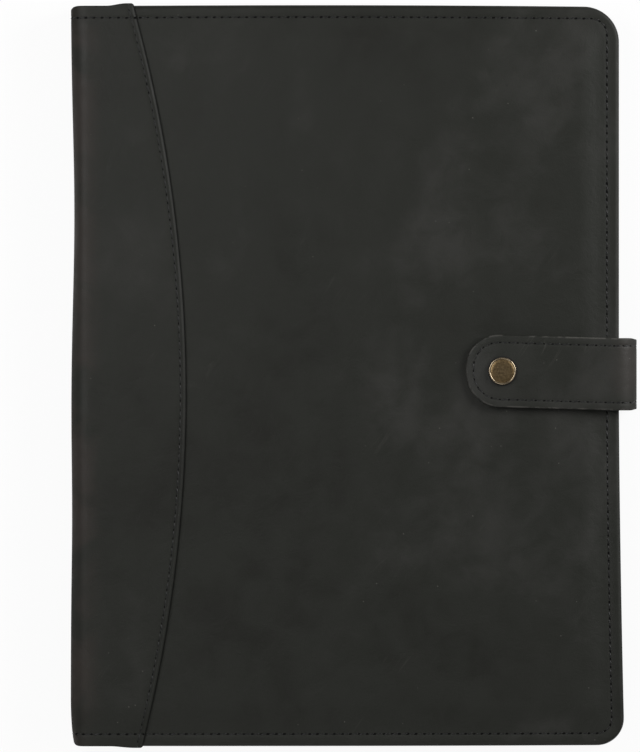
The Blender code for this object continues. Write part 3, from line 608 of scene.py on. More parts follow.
def woven_cloth():
    """Plain-woven lining: yarns that pass over and under each other."""
    tones = settings().finish
    finish = Finish("woven_cloth", specular=0.2)
    parts = finish.add("ShaderNodeSeparateXYZ", {0: finish.place}).outputs
    wave = 2 * math.pi / (1.3 * MM)
    across = finish.math("SINE", finish.math("MULTIPLY", parts["X"], wave))
    along = finish.math("SINE", finish.math("MULTIPLY", parts["Y"], wave))
    weave = finish.math("MULTIPLY", across, along)
    yarn = finish.between(weave, -0.9, 0.9)
    slub = finish.noise(1.0, detail=2.0, vector=finish.stretched((3 * MM, 22 * MM, 22 * MM)))
    base = finish.mix(yarn, shade(tones.cloth, 0.6), shade(tones.cloth, 1.35))
    base = finish.mix(finish.between(slub, 0.45, 0.75, 0.0, 0.5), base, shade(tones.cloth, 1.9))
    finish.set("Base Color", base)
    finish.dull(slub, 0.72, 0.9)
    relief = finish.bump(yarn, 0.10 * MM, 0.7)
    finish.set("Normal", finish.bump(slub, 0.05 * MM, over=relief))
    return finish.material


def waxed_thread():
    """Waxed black thread."""
    finish = Finish("waxed_thread", specular=0.35)
    fibres = finish.noise(0.35 * MM, detail=2.0)
    return finish.grained(fibres, settings().finish.thread, (0.7, 1.5), (0.32, 0.5), 0.05 * MM)


def painted_hole_shade():
    """Painted shade of the needle holes: near-black marks that stand for the shaded dips where the thread
    goes in.
    """
    tones = settings().finish
    finish = Finish("painted_hole_shade", roughness=0.95, specular=0.1)
    depth = finish.noise(0.5 * MM, detail=1.0)
    finish.set("Base Color", finish.mix(depth, tones.hole, shade(tones.hole, 2.0)))
    return finish.material


def antique_brass():
    """Brass with a brown patina, rubbed bright where it stands proud."""
    tones = settings().finish
    finish = Finish("antique_brass", metallic=1.0)
    stain = finish.noise(0.9 * MM, detail=5.0, roughness=0.7)
    base = finish.mix(finish.between(stain, 0.36, 0.64), tones.brass_dark, tones.brass)
    rub = finish.attribute("rub")
    finish.set("Base Color", finish.mix(rub, base, tones.brass_rubbed))
    dull = finish.between(stain, 0.3, 0.7, 0.30, 0.48)
    finish.set("Roughness", finish.math("SUBTRACT", dull, finish.math("MULTIPLY", rub, 0.18)))
    finish.set("Normal", finish.bump(finish.noise(0.8 * MM, detail=4.0), 0.03 * MM))
    return finish.material


def writing_paper():
    """Plain paper, seen at the edges of the pad."""
    tones = settings().finish
    finish = Finish("writing_paper", specular=0.25)
    fibre = finish.noise(1.0, detail=3.0, vector=finish.stretched((8 * MM, 8 * MM, 0.4 * MM)))
    finish.set("Base Color", finish.mix(fibre, shade(tones.paper, 0.86), shade(tones.paper, 1.06)))
    finish.dull(fibre, 0.8, 0.92)
    finish.set("Normal", finish.bump(finish.noise(0.4 * MM), 0.01 * MM))
    return finish.material


def ruled_paper():
    """Top sheet with ruled lines and a margin."""
    tones = settings().finish
    inside = settings().inside
    low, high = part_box("pad_paper")
    finish = Finish("ruled_paper", specular=0.25)
    fibre = finish.noise(0.9 * MM, detail=4.0)
    base = finish.mix(fibre, shade(tones.paper, 0.95), shade(tones.paper, 1.04))
    parts = finish.add("ShaderNodeSeparateXYZ", {0: finish.place}).outputs
    down = finish.math("SUBTRACT", high.y - inside.rule_head, parts["Y"])
    turn = finish.math("FRACT", finish.math("DIVIDE", down, inside.rule_pitch))
    rule = finish.math("ABSOLUTE", finish.math("SUBTRACT", turn, 0.5))
    rule = finish.between(rule, 0.018, 0.034, 1.0, 0.0)
    ruled = finish.math("MULTIPLY", rule, finish.between(down, 0.0, 0.2 * MM))
    up = finish.math("SUBTRACT", parts["Y"], low.y + inside.rule_foot)
    ruled = finish.math("MULTIPLY", ruled, finish.between(up, 0.0, 0.2 * MM))
    base = finish.mix(ruled, base, tones.rule)
    side = finish.math("ABSOLUTE", finish.math("SUBTRACT", parts["X"], low.x + inside.margin))
    base = finish.mix(finish.between(side, 0.12 * MM, 0.24 * MM, 0.8, 0.0), base, tones.margin)
    finish.set("Base Color", base)
    finish.dull(fibre, 0.8, 0.92)
    finish.set("Normal", finish.bump(fibre, 0.01 * MM))
    return finish.material


def grey_card():
    """Recycled card behind the pad."""
    finish = Finish("grey_card", specular=0.2)
    flecks = finish.noise(1.4 * MM, detail=5.0, roughness=0.7)
    return finish.grained(flecks, settings().finish.card, (0.7, 1.25), (0.82, 0.95), 0.03 * MM)


def bookcloth_tape():
    """Fine bookcloth tape."""
    finish = Finish("bookcloth_tape", specular=0.3)
    threads = finish.noise(1.0, detail=1.0, vector=finish.stretched((0.4 * MM, 1.4 * MM, 1.4 * MM)))
    return finish.grained(threads, settings().finish.tape, (0.7, 1.5), (0.6, 0.8), 0.05 * MM)


FINISHES = (
    oiled_leather,
    wrap_leather,
    strap_leather,
    pocket_leather,
    woven_cloth,
    waxed_thread,
    painted_hole_shade,
    antique_brass,
    writing_paper,
    ruled_paper,
    grey_card,
    bookcloth_tape,
)


def finish_named(name):
    """Finish of a name, made when it is first asked for."""
    made = bpy.data.materials.get(name)
    if made:
        return made
    return next(maker for maker in FINISHES if maker.__name__ == name)()


# Shapes


def smooth(value):
    """Smooth step from 0 to 1."""
    value = min(max(value, 0.0), 1.0)
    return value * value * (3 - 2 * value)


def bell(value):
    """Bell-shaped bump of height and half-width 1."""
    return math.exp(-value * value)


def edge_height(inset, radius):
    """Half-height of a rounded edge, at a distance from its rim."""
    if inset >= radius:
        return radius
    return math.sqrt(max(radius**2 - (radius - inset) ** 2, 0.0))


def groove(distance):
    """Depth to which a row of stitches pulls the leather in."""
    stitch = settings().stitch
    return stitch.groove * bell(distance / stitch.groove_width)


def arc(centre, radius, start, end):
    """Points on an arc, from one angle to another, in degrees."""
    start, end = math.radians(start), math.radians(end)
    steps = max(1, math.ceil(abs(end - start) / ARC_STEP))
    x, y = centre
    angles = [start + (end - start) * step / steps for step in range(steps + 1)]
    return [(x + radius * math.cos(angle), y + radius * math.sin(angle)) for angle in angles]


class Path:
    """Line of points in a plane, followed by its length, with its normal on the left."""

    def __init__(self, points):
        self.points = [Vector(points[0])]
        for point in points[1:]:
            if (Vector(point) - self.points[-1]).length > LEAST_LINE / 10:
                self.points.append(Vector(point))
        self.runs = [0.0]
        for near, far in zip(self.points, self.points[1:]):
            self.runs.append(self.runs[-1] + (far - near).length)
        self.length = self.runs[-1]
        self.turns = [self.turn(index) for index in range(len(self.points))]

    def turn(self, index):
        """Direction of the line at one of its points."""
        before = self.points[max(index - 1, 0)]
        after = self.points[min(index + 1, len(self.points) - 1)]
        return (after - before).normalized()

    def at(self, run, height):
        """Place at a length along the line and a height to its left."""
        index = min(max(bisect.bisect_right(self.runs, run) - 1, 0), len(self.points) - 2)
        part = (run - self.runs[index]) / (self.runs[index + 1] - self.runs[index])
        point = self.points[index].lerp(self.points[index + 1], part)
        heading = self.turns[index].lerp(self.turns[index + 1], min(max(part, 0.0), 1.0)).normalized()
        return point + height * Vector((-heading.y, heading.x))


def edge_lines(radius, rows, reach):
    """Distances from a finished edge at which a panel has lines, close together where it curves."""
    lines = [radius * (1 - math.cos(math.radians(angle))) for angle in range(0, 91, 15)]
    width = settings().stitch.groove_width
    for row in rows:
        lines += [row + width * part / 2 for part in range(-4, 5)]
    last = max(lines)
    step = width
    while last + step < reach:
        last += step
        lines.append(last)
        step *= 1.3
    kept = [0.0]
    for line in sorted(lines):
        if line - kept[-1] > LEAST_LINE and reach - line > LEAST_LINE:
            kept.append(line)
    return kept + [reach]


def panel_lines(span, done, edge, step):
    """Lines across a panel: those of its finished edges, and even ones between them."""
    low, high = span
    start = [low + inset for inset in edge] if done[0] else [low]
    end = [high - inset for inset in reversed(edge)] if done[1] else [high]
    count = max(1, round((end[0] - start[-1]) / step))
    middle = [start[-1] + (end[0] - start[-1]) * part / count for part in range(1, count)]
    return start + middle + end


def round_corner(a, b, reach, radius):
    """Moves a point of a square corner onto round rings: a and b are its distances from the edges."""
    inset = min(a, b)
    leg = reach - inset
    if leg < LEAST_LINE:
        return a, b
    radius = min(max(radius, LEAST_CORNER), leg)
    straight = leg - radius
    bend = math.pi / 2 * radius
    along = reach - b if a <= b else leg + a - inset
    along *= (2 * straight + bend) / (2 * leg)
    if along <= straight:
        return inset, reach - along
    if along >= straight + bend:
        return inset + radius + along - straight - bend, inset
    angle = (along - straight) / radius
    return inset + radius * (1 - math.cos(angle)), inset + radius * (1 - math.sin(angle))


class Panel:
    """Sheet with finished edges, drawn flat in u and v and then laid in its place.

    done tells which edges are finished: low u, high u, low v and high v. Finished edges are
    round, and so are the corners between them: corners holds their radii at low and high u, for
    low v and then for high v. outer and inner give the heights of the two faces at the distances
    a and b from the nearest finished edge in u and in v. place lays a point in space. The corners
    get tighter towards the middle by the share tighten of the way, but not below the radius core.
    """

    def __init__(
        self, span_u, span_v, done, corners, lines, outer, inner, place, tighten=1.0, core=0.0
    ):
        self.spans = (span_u, span_v)
        self.done = (done[:2], done[2:])
        self.corners = corners
        self.lines_u, self.lines_v, self.reach, self.step = lines
        self.outer = outer
        self.inner = inner
        self.place = place
        self.tighten = tighten
        self.core = core

    def edge_distance(self, value, axis):
        """Distance to the nearest finished edge, and which of the two it is."""
        low, high = self.spans[axis]
        to_low = value - low if self.done[axis][0] else FAR
        to_high = high - value if self.done[axis][1] else FAR
        return (to_low, 0) if to_low <= to_high else (to_high, 1)

    def rounded(self, u, v):
        """Point moved onto the round corners, with its distances from the edges."""
        a, side_u = self.edge_distance(u, 0)
        b, side_v = self.edge_distance(v, 1)
        if a < self.reach and b < self.reach:
            radius = max(self.corners[side_v][side_u] - self.tighten * min(a, b), self.core)
            in_u, in_v = round_corner(a, b, self.reach, radius)
            u = self.spans[0][side_u] + (in_u if side_u == 0 else -in_u)
            v = self.spans[1][side_v] + (in_v if side_v == 0 else -in_v)
        return u, v, a, b

    def mesh(self):
        """Points, faces and distances from the edge of the closed sheet."""
        lines_u = panel_lines(self.spans[0], self.done[0], self.lines_u, self.step)
        lines_v = panel_lines(self.spans[1], self.done[1], self.lines_v, self.step)
        points = []
        insets = []
        outer = []
        inner = []

        def add(u, v, height, a, b):
            points.append(self.place(u, v, height, a, b))
            insets.append(min(a, b) / MM)
            return len(points) - 1

        for line_u in lines_u:
            outer.append([])
            inner.append([])
            for line_v in lines_v:
                u, v, a, b = self.rounded(line_u, line_v)
                outer[-1].append(add(u, v, self.outer(a, b), a, b))
                rim = min(a, b) < LEAST_LINE / 10
                inner[-1].append(outer[-1][-1] if rim else add(u, v, self.inner(a, b), a, b))
        faces = grid_faces(outer) + [face[::-1] for face in grid_faces(inner)]
        faces += wall_faces(outer[0], inner[0]) + wall_faces(outer[-1], inner[-1])
        sides = [[[row[end] for row in grid] for grid in (outer, inner)] for end in (0, -1)]
        for upper, lower in sides:
            faces += wall_faces(upper, lower)
        return points, faces, insets

    def row(self, corners):
        """Places and outward directions along a row that runs from point to point in u and v."""
        found = []
        for (u0, v0), (u1, v1) in zip(corners, corners[1:]):
            count = max(1, round(math.hypot(u1 - u0, v1 - v0) / ROW_STEP))
            for step in range(count):
                part = step / count
                found.append((u0 + (u1 - u0) * part, v0 + (v1 - v0) * part))
        found.append(corners[-1])
        row = []
        for flat_u, flat_v in found:
            u, v, a, b = self.rounded(flat_u, flat_v)
            height = self.outer(a, b)
            place = self.place(u, v, height, a, b)
            lift = self.place(u, v, height + MM, a, b) - place
            row.append((place, lift.normalized()))
        return row


def grid_faces(grid):
    """Four-sided faces over rows of points."""
    faces = []
    for row, following in zip(grid, grid[1:]):
        for near in range(len(row) - 1):
            faces.append((row[near], following[near], following[near + 1], row[near + 1]))
    return faces


def wall_faces(upper, lower):
    """Faces that close the side between two lines of points, where they lie apart."""
    faces = []
    for near in range(len(upper) - 1):
        face = (upper[near], upper[near + 1], lower[near + 1], lower[near])
        face = tuple(dict.fromkeys(face))
        if len(face) > 2:
            faces.append(face)
    return faces


def add_mesh(name, points, faces, finish, slot, **numbers):
    """New piece from points and faces, with numbers stored on its points."""
    mesh = bpy.data.meshes.new(name)
    mesh.from_pydata(points, [], faces)
    bm = bmesh.new()
    bm.from_mesh(mesh)
    bmesh.ops.recalc_face_normals(bm, faces=bm.faces)
    bm.to_mesh(mesh)
    bm.free()
    mesh.shade_smooth()
    mesh.set_sharp_from_angle(angle=SHARP_ANGLE)
    for label, values in numbers.items():
        mesh.attributes.new(label, "FLOAT", "POINT").data.foreach_set("value", values)
    mesh.materials.append(finish_named(finish))
    return add_object(name, mesh)


def add_object(name, mesh):
    """New piece that shows a mesh."""
    piece = bpy.data.objects.new(name, mesh)
    bpy.context.scene.collection.objects.link(piece)
    return piece


def add_panel(name, panel, finish, slot):
    """New piece from a panel."""
    points, faces, insets = panel.mesh()
    return add_mesh(name, points, faces, finish, slot, inset=insets)


def turned(profile, centre):
    """Points, faces and numbers of a shape turned about Z, from its outline's (radius, height, number)."""
    points = []
    numbers = []
    rings = []
    for radius, height, number in profile:
        ring = []
        for step in range(1 if radius == 0 else TURN_STEPS):
            angle = 2 * math.pi * step / TURN_STEPS
            arm = radius * Vector((math.cos(angle), math.sin(angle)))
            points.append((centre.x + arm.x, centre.y + arm.y, height))
            numbers.append(number)
            ring.append(len(points) - 1)
        rings.append(ring * TURN_STEPS if radius == 0 else ring)
    faces = []
    for ring, following in zip(rings, rings[1:]):
        for near in range(TURN_STEPS):
            far = (near + 1) % TURN_STEPS
            face = tuple(dict.fromkeys((ring[near], ring[far], following[far], following[near])))
            if len(face) > 2:
                faces.append(face[::-1])
    return points, faces, numbers


def add_turned(name, profile, finish, slot):
    """New piece turned about the snap's axis, from (radius, height, rub) along its outline."""
    points, faces, rubs = turned(profile, SNAP)
    return add_mesh(name, points, faces, finish, slot, rub=rubs)


def even_sheet(spans, done, corners, thickness, place, reach, step, rows=(), bury=0.0):
    """Panel of an even thickness, with rows of stitches at distances from its edge.

    It has lines along its edges as far in as reach, and lines a step apart in its middle. Its
    outer face lies at the depth bury under the place where it is laid.
    """
    half = thickness / 2

    def outer(a, b):
        inset = min(a, b)
        return -half + edge_height(inset, half) - sum(groove(inset - row) for row in rows) - bury

    def inner(a, b):
        return -half - edge_height(min(a, b), half) - bury

    edge = edge_lines(half, rows, reach)
    return Panel(*spans, done, corners, (edge, edge, reach, step), outer, inner, place)


def flat_place(level, side):
    """Lays a flat panel at a level, facing up or down."""
    return lambda u, v, height, a, b: Vector((u, v, level + side * height))


# Stitches

# How full the sides of threads and needle holes are
FULLNESS = 0.4

# Thread: its height for its width, and how far its ends dive
THREAD_HEIGHT = 0.9
THREAD_DIVE = 1.6

# Dark mark of painted shade at a needle hole: its length and depth for its width
HOLE_LENGTH = 1.35
HOLE_DEPTH = 0.18

# Shares by which stitches differ in size and in slant
UNEVEN_SIZE = 0.15
UNEVEN_SLANT = 0.5


def geometry_group(name, inputs):
    """New geometry node tree whose inputs, besides its geometry, have the names and kinds given."""
    group = bpy.data.node_groups.new(name, "GeometryNodeTree")
    group.interface.new_socket("Geometry", in_out="INPUT", socket_type="NodeSocketGeometry")
    for label, kind in inputs.items():
        group.interface.new_socket(label, in_out="INPUT", socket_type=f"NodeSocket{kind}")
    group.interface.new_socket("Geometry", in_out="OUTPUT", socket_type="NodeSocketGeometry")
    return group


def stitch_tree():
    """Geometry nodes that sew along lines: a dark mark of painted shade at each stitch's needle hole, and
    a thread between them.
    """
    made = bpy.data.node_groups.get("padfolio_stitches")
    if made:
        return made
    sizes = ("Pitch", "Thread Length", "Thread Width", "Hole Width", "Slant", "Stray")
    inputs = dict.fromkeys(sizes, "Float")
    inputs.update({"Seed": "Int", "Thread": "Material", "Hole": "Material"})
    group = geometry_group("padfolio_stitches", inputs)
    tree = Tree(group)
    given = tree.add("NodeGroupInput").outputs
    half = tree.math("DIVIDE", given["Pitch"], 2.0)
    curve = tree.add("GeometryNodeMeshToCurve", {"Mesh": given["Geometry"]}).outputs[0]
    inputs = {"Curve": curve, "Length": half}
    points = tree.add("GeometryNodeResampleCurve", inputs, mode="LENGTH").outputs[0]
    heading = tree.add("GeometryNodeInputTangent").outputs[0]
    index = tree.add("GeometryNodeInputIndex").outputs[0]
    back = tree.math("MULTIPLY", given["Stray"], -1.0)
    inputs = {2: back, 3: given["Stray"], 7: index, 8: given["Seed"]}
    stray = tree.add("FunctionNodeRandomValue", inputs).outputs[1]
    aside = tree.vector("SCALE", heading, stray)
    points = tree.add("GeometryNodeSetPosition", {"Geometry": points, "Offset": aside}).outputs[0]
    lift = tree.add("GeometryNodeInputNamedAttribute", {"Name": "lift"}, data_type="FLOAT_VECTOR")
    aim = tree.add("FunctionNodeAlignRotationToVector", {"Vector": heading}, axis="X").outputs[0]
    inputs = {"Rotation": aim, "Vector": lift.outputs[0]}
    aim = tree.add("FunctionNodeAlignRotationToVector", inputs, axis="Z", pivot_axis="X").outputs[0]
    odd = tree.math("MODULO", index, 2.0)
    even = tree.math("SUBTRACT", 1.0, odd)
    small = tree.math("MULTIPLY", given["Slant"], UNEVEN_SLANT)
    least = tree.math("SUBTRACT", given["Slant"], small)
    most = tree.math("ADD", given["Slant"], small)
    inputs = {2: least, 3: most, 7: index, 8: given["Seed"]}
    slant = tree.add("FunctionNodeRandomValue", inputs).outputs[1]
    inputs = {"Axis": (0.0, 0.0, 1.0), "Angle": slant}
    slanted = tree.add("FunctionNodeAxisAngleToRotation", inputs).outputs[0]
    inputs = {"Rotation": aim, "Rotate By": slanted}
    aim = tree.add("FunctionNodeRotateRotation", inputs, rotation_space="LOCAL").outputs[0]
    inputs = {2: 1 - UNEVEN_SIZE, 3: 1 + UNEVEN_SIZE, 7: index, 8: given["Seed"]}
    uneven = tree.add("FunctionNodeRandomValue", inputs).outputs[1]

    def ball(rings, size, dive=0.0):
        """Drawn-out ball that lies along X, with full sides and with ends that dive into the leather."""
        made = tree.add("GeometryNodeMeshUVSphere", {"Segments": 8, "Rings": rings, "Radius": 0.5})
        inputs = {"Geometry": made.outputs[0], "Rotation": (0.0, math.pi / 2, 0.0)}
        lying = tree.add("GeometryNodeTransform", inputs).outputs[0]
        place = tree.add("GeometryNodeInputPosition").outputs[0]
        along = tree.add("ShaderNodeSeparateXYZ", {0: place}).outputs["X"]
        square = tree.math("MULTIPLY", along, along)
        less = tree.math("MULTIPLY", square, 4 * FULLNESS)
        fuller = tree.math("SUBTRACT", FULLNESS, less)
        inputs = {0: tree.math("MULTIPLY", along, fuller), 2: tree.math("MULTIPLY", square, -dive)}
        offset = tree.add("ShaderNodeCombineXYZ", inputs).outputs[0]
        bent = tree.add("GeometryNodeSetPosition", {"Geometry": lying, "Offset": offset}).outputs[0]
        scale = tree.add("ShaderNodeCombineXYZ", dict(enumerate(size))).outputs[0]
        return tree.add("GeometryNodeTransform", {"Geometry": bent, "Scale": scale}).outputs[0]

    def sewn(choice, shape, material):
        """Copies of a shape at the chosen points."""
        inputs = {"Points": points, "Selection": choice, "Instance": shape}
        inputs.update({"Rotation": aim, "Scale": uneven})
        copies = tree.add("GeometryNodeInstanceOnPoints", inputs).outputs[0]
        real = tree.add("GeometryNodeRealizeInstances", {"Geometry": copies}).outputs[0]
        even_shade = tree.add("GeometryNodeSetShadeSmooth", {"Geometry": real}).outputs[0]
        inputs = {"Geometry": even_shade, "Material": material}
        return tree.add("GeometryNodeSetMaterial", inputs).outputs[0]

    width = given["Thread Width"]
    hole = given["Hole Width"]
    thread_size = (given["Thread Length"], width, tree.math("MULTIPLY", width, THREAD_HEIGHT))
    hole_depth = tree.math("MULTIPLY", hole, HOLE_DEPTH)
    hole_size = (tree.math("MULTIPLY", hole, HOLE_LENGTH), hole, hole_depth)
    threads = sewn(odd, ball(6, thread_size, THREAD_DIVE), given["Thread"])
    # Dark marks of painted shade at the needle holes
    holes = sewn(even, ball(5, hole_size), given["Hole"])
    joined = tree.add("GeometryNodeJoinGeometry")
    for part in (holes, threads):
        tree.links.new(part, joined.inputs[0])
    tree.add("NodeGroupOutput", {0: joined.outputs[0]})
    return group


def set_inputs(modifier, values):
    """Sets a node modifier's inputs, found by their names, through their identifiers."""
    for item in modifier.node_group.interface.items_tree:
        if item.item_type == "SOCKET" and item.in_out == "INPUT" and item.name in values:
            modifier[item.identifier] = values[item.name]


def grown(name, mesh, group, values):
    """Plain mesh piece from what a node tree makes of a mesh."""
    seed = bpy.data.objects.new(f"{name}_lines", mesh)
    bpy.context.scene.collection.objects.link(seed)
    modifier = seed.modifiers.new("nodes", "NODES")
    modifier.node_group = group
    set_inputs(modifier, values)
    graph = bpy.context.evaluated_depsgraph_get()
    made = bpy.data.meshes.new_from_object(seed.evaluated_get(graph))
    made.name = name
    seed.modifiers.remove(modifier)
    bpy.data.objects.remove(seed, do_unlink=True)
    if not made.polygons:
        raise RuntimeError(f"{name} came out empty")
    return add_object(name, made)


def sew(name, rows, pitch, hole, slot="cover_leather"):
    """Stitches along rows of places with their outward directions."""
    stitch = settings().stitch
    points = []
    lifts = []
    edges = []
    for row in rows:
        start = len(points)
        points += [place for place, lift in row]
        for place, lift in row:
            lifts += tuple(lift)
        edges += [(index, index + 1) for index in range(start, len(points) - 1)]
    mesh = bpy.data.meshes.new(f"{name}_rows")
    mesh.from_pydata(points, edges, [])
    mesh.attributes.new("lift", "FLOAT_VECTOR", "POINT").data.foreach_set("vector", lifts)
    values = {
        "Pitch": pitch,
        "Thread Length": pitch * stitch.thread_share,
        "Thread Width": stitch.thread,
        "Hole Width": hole,
        "Slant": stitch.slant,
        "Stray": stitch.stray,
        "Seed": stitch.seed,
        "Thread": finish_named("waxed_thread"),
        "Hole": finish_named("painted_hole_shade"),
    }
    return grown(name, mesh, stitch_tree(), values)


# Covers


def cover_panel(side):
    """Leather of one cover, turned in over its board: side is 1 at the front and -1 at the back."""
    cover = settings().cover
    face, hem = (FRONT_FACE, FRONT_HEM) if side > 0 else (BACK_FACE, BACK_HEM)
    half = (abs(face - hem) - cover.border_drop) / 2
    middle = -cover.border_drop - half
    reach = cover.row_inset + cover.pillow_reach

    def outer(a, b):
        inset = min(a, b)
        fore = smooth((b - a) / (2 * cover.row_inset) + 0.5)
        roll = cover.end_roll + (cover.roll - cover.end_roll) * fore
        drop = cover.end_drop + (cover.border_drop - cover.end_drop) * fore
        if inset < cover.roll_inset:
            crest = roll - drop - middle
            return middle + crest * edge_height(inset, cover.roll_inset) / cover.roll_inset
        roll *= 1 - smooth((inset - cover.roll_inset) / (cover.row_inset - cover.roll_inset))
        drop *= 1 - smooth((inset - cover.row_inset) / cover.pillow_reach)
        return roll - drop - groove(inset - cover.row_inset)

    def inner(a, b):
        return middle - edge_height(min(a, b), half)

    def place(u, v, height, a, b):
        wave = noise.noise(Vector((u, v, side * FAR)) / cover.swell_size)
        height += cover.swell * wave * smooth(min(a, b) / reach)
        across = (u - COVER_LEFT) / (FORE_X - COVER_LEFT)
        y = v * (1 - cover.end_draw / HEAD_Y * across**3)
        y += cover.head_bow * math.sin(math.pi * across) * smooth(v / HEAD_Y)
        return Vector((u + spread(v) * across, y, face + side * height))

    corners = ((0.0, cover.foot_corner), (0.0, cover.head_corner))
    edge = edge_lines(cover.roll_inset, (cover.row_inset,), reach)
    lines = (edge, edge, reach, 5 * MM)
    done = (False, True, True, True)
    spans = (COVER_LEFT, FORE_X), (FOOT_Y, HEAD_Y)
    rings = {"tighten": 1.6, "core": 7 * MM}
    return Panel(*spans, done, corners, lines, outer, inner, place, **rings)


def spread(y):
    """How far the fore-edge has moved out at a height: its foot has spread, and its head is drawn in."""
    cover = settings().cover
    down = (-y - cover.spread_start) / (HEAD_Y - cover.spread_start)
    return cover.spread * max(down, 0.0) ** 1.6 - cover.draw_in


def cover_rows(panel):
    """Rows of stitches round a cover, from the wing's edge round to the wing's edge."""
    inset = settings().cover.row_inset
    ends = [wing_edge(y) + 1.5 * MM for y in (HEAD_Y - inset, FOOT_Y + inset)]
    return [
        panel.row(
            [
                (ends[0], HEAD_Y - inset),
                (FORE_X - inset, HEAD_Y - inset),
                (FORE_X - inset, FOOT_Y + inset),
                (ends[1], FOOT_Y + inset),
            ]
        )
    ]


class PADFOLIO_OT_covers(bpy.types.Operator):
    """Builds the leather of the two covers, which holds the boards, and sews round it"""

    bl_idname = "padfolio.covers"
    bl_label = "Covers"

    def execute(self, context):
        stitch = settings().stitch
        for side, label in ((1, "front"), (-1, "back")):
            panel = cover_panel(side)
            piece = add_panel(f"{label}_cover_skin", panel, "oiled_leather", "cover_leather")
            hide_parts(f"{label}_cover_leather", f"{label}_cover_board")
            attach(piece, f"{label}_cover")
            rows = cover_rows(panel)
            stitches = sew(f"{label}_cover_stitches", rows, stitch.cover_pitch, stitch.hole)
            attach(stitches, f"{label}_cover")
        return {"FINISHED"}


# Spine wrap


def wing_reach(y):
    """How far the frame's wing reaches from the spine at a height."""
    points = [point.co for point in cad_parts["front_wing"].data.vertices]
    return max(point.x for point in points if abs(point.y - y) < 0.5 * MM) - SPINE_X


WING_HEAD = wing_reach(HEAD_Y)
WING_MIDDLE = wing_reach(0.0)
WING_FOOT = wing_reach(FOOT_Y)


def wing_edge(y):
    """Place along X of a wing's curved edge: a circle through its head, middle and foot."""
    chord = SPINE_X + (WING_HEAD + WING_FOOT) / 2 + (WING_HEAD - WING_FOOT) * y / (HEAD_Y - FOOT_Y)
    bulge = WING_MIDDLE - (WING_HEAD + WING_FOOT) / 2
    radius = (HEAD_Y**2 + bulge**2) / (2 * bulge)
    return chord + bulge - radius + math.sqrt(radius**2 - min(abs(y), HEAD_Y) ** 2)


def spine_dent(y):
    """How far the spine is pushed in at a height: two hollows between its fuller ends."""
    spine = settings().spine
    upper = spine.dent * bell((y - spine.dent_place) / spine.dent_size)
    lower = spine.low_dent * bell((y + spine.low_dent_place) / spine.low_dent_size)
    tuck = max(FOOT_Y + spine.foot_tuck_size - y, 0.0) / spine.foot_tuck_size
    return upper + lower + spine.foot_tuck * tuck**2 - spine.bulge


def wrap_panel(side):
    """Half of the spine wrap, from the middle of the spine to the edge of one wing."""
    spine = settings().spine
    cover = settings().cover
    centre = (SPINE_X + spine.radius, WRAP_HIGH - spine.radius)
    bend = arc(centre, spine.radius, 180, 90)
    path = Path([(SPINE_X, SPINE_MIDDLE), *bend, (SPINE_X + WING_MIDDLE, WRAP_HIGH)])
    flat_start = path.length - (WING_MIDDLE - spine.radius)
    flat = path.length - flat_start
    bend_start = centre[1] - SPINE_MIDDLE
    half = spine.leather / 2
    reach = 9 * MM

    def outer(a, b):
        rise = smooth((a - spine.edge_start) / (spine.edge_crest - spine.edge_start))
        fall = smooth((a - spine.edge_crest) / (spine.row_inset - spine.edge_crest))
        strip = spine.edge_swell * (rise - fall)
        rows = groove(a - spine.row_inset) + groove(b - cover.row_inset)
        rim = edge_height(min(a * half / spine.edge_round, b), half)
        return -half + rim + strip * smooth(b / MM) - rows

    def inner(a, b):
        return -half - edge_height(min(a, b), half)

    def place(u, v, height, a, b):
        over = u - flat_start
        end = 1 if v > 0 else -1
        near_end = 1 - smooth(b / cover.row_inset)
        turn = smooth((flat_start - u) / (flat_start - bend_start))
        width = wing_edge(v) - centre[0]
        if over > 0:
            from_edge = flat - over
            if from_edge < reach:
                over = width - from_edge
            else:
                over *= (width - reach) / (flat - reach)
            u = flat_start + over
        point = path.at(u, height)
        settle = cover.end_drop * (1 - smooth((b - cover.row_inset) / cover.pillow_reach))
        x = point.x + spine_dent(v) * turn
        z = point.y - settle * (1 - turn)
        proud, ease = (spine.head_proud, spine.head_ease) if v > 0 else (spine.foot_proud, spine.foot_ease)
        proud *= smooth((over / width - 0.4) / 0.45)
        y = v + end * near_end * (proud - ease * turn**4)
        return Vector((x, y, z if side > 0 else WRAP_LOW + WRAP_HIGH - z))

    corners = ((0.0, 1.2 * MM), (0.0, 1.2 * MM))
    across = edge_lines(spine.edge_round, (spine.row_inset,), reach)
    ends = edge_lines(half, (cover.row_inset,), reach)
    spans = (0.0, path.length), (FOOT_Y, HEAD_Y)
    done = (False, True, True, True)
    lines = (across, ends, reach, 2.0 * MM)
    return Panel(*spans, done, corners, lines, outer, inner, place)


def wrap_rows(panel):
    """Rows along a wing's curved edge, and across it at the head and the foot."""
    spine = settings().spine
    inset = settings().cover.row_inset
    end = panel.spans[0][1]
    start = settings().stitch.cover_pitch / 4
    edge = end - spine.row_inset
    low, high = FOOT_Y + inset, HEAD_Y - inset
    curve = [(edge, FOOT_Y + 2.5 * MM), (edge, HEAD_Y - 2.5 * MM)]
    return [panel.row(curve)], [panel.row([(start, y), (end - MM, y)]) for y in (low, high)]


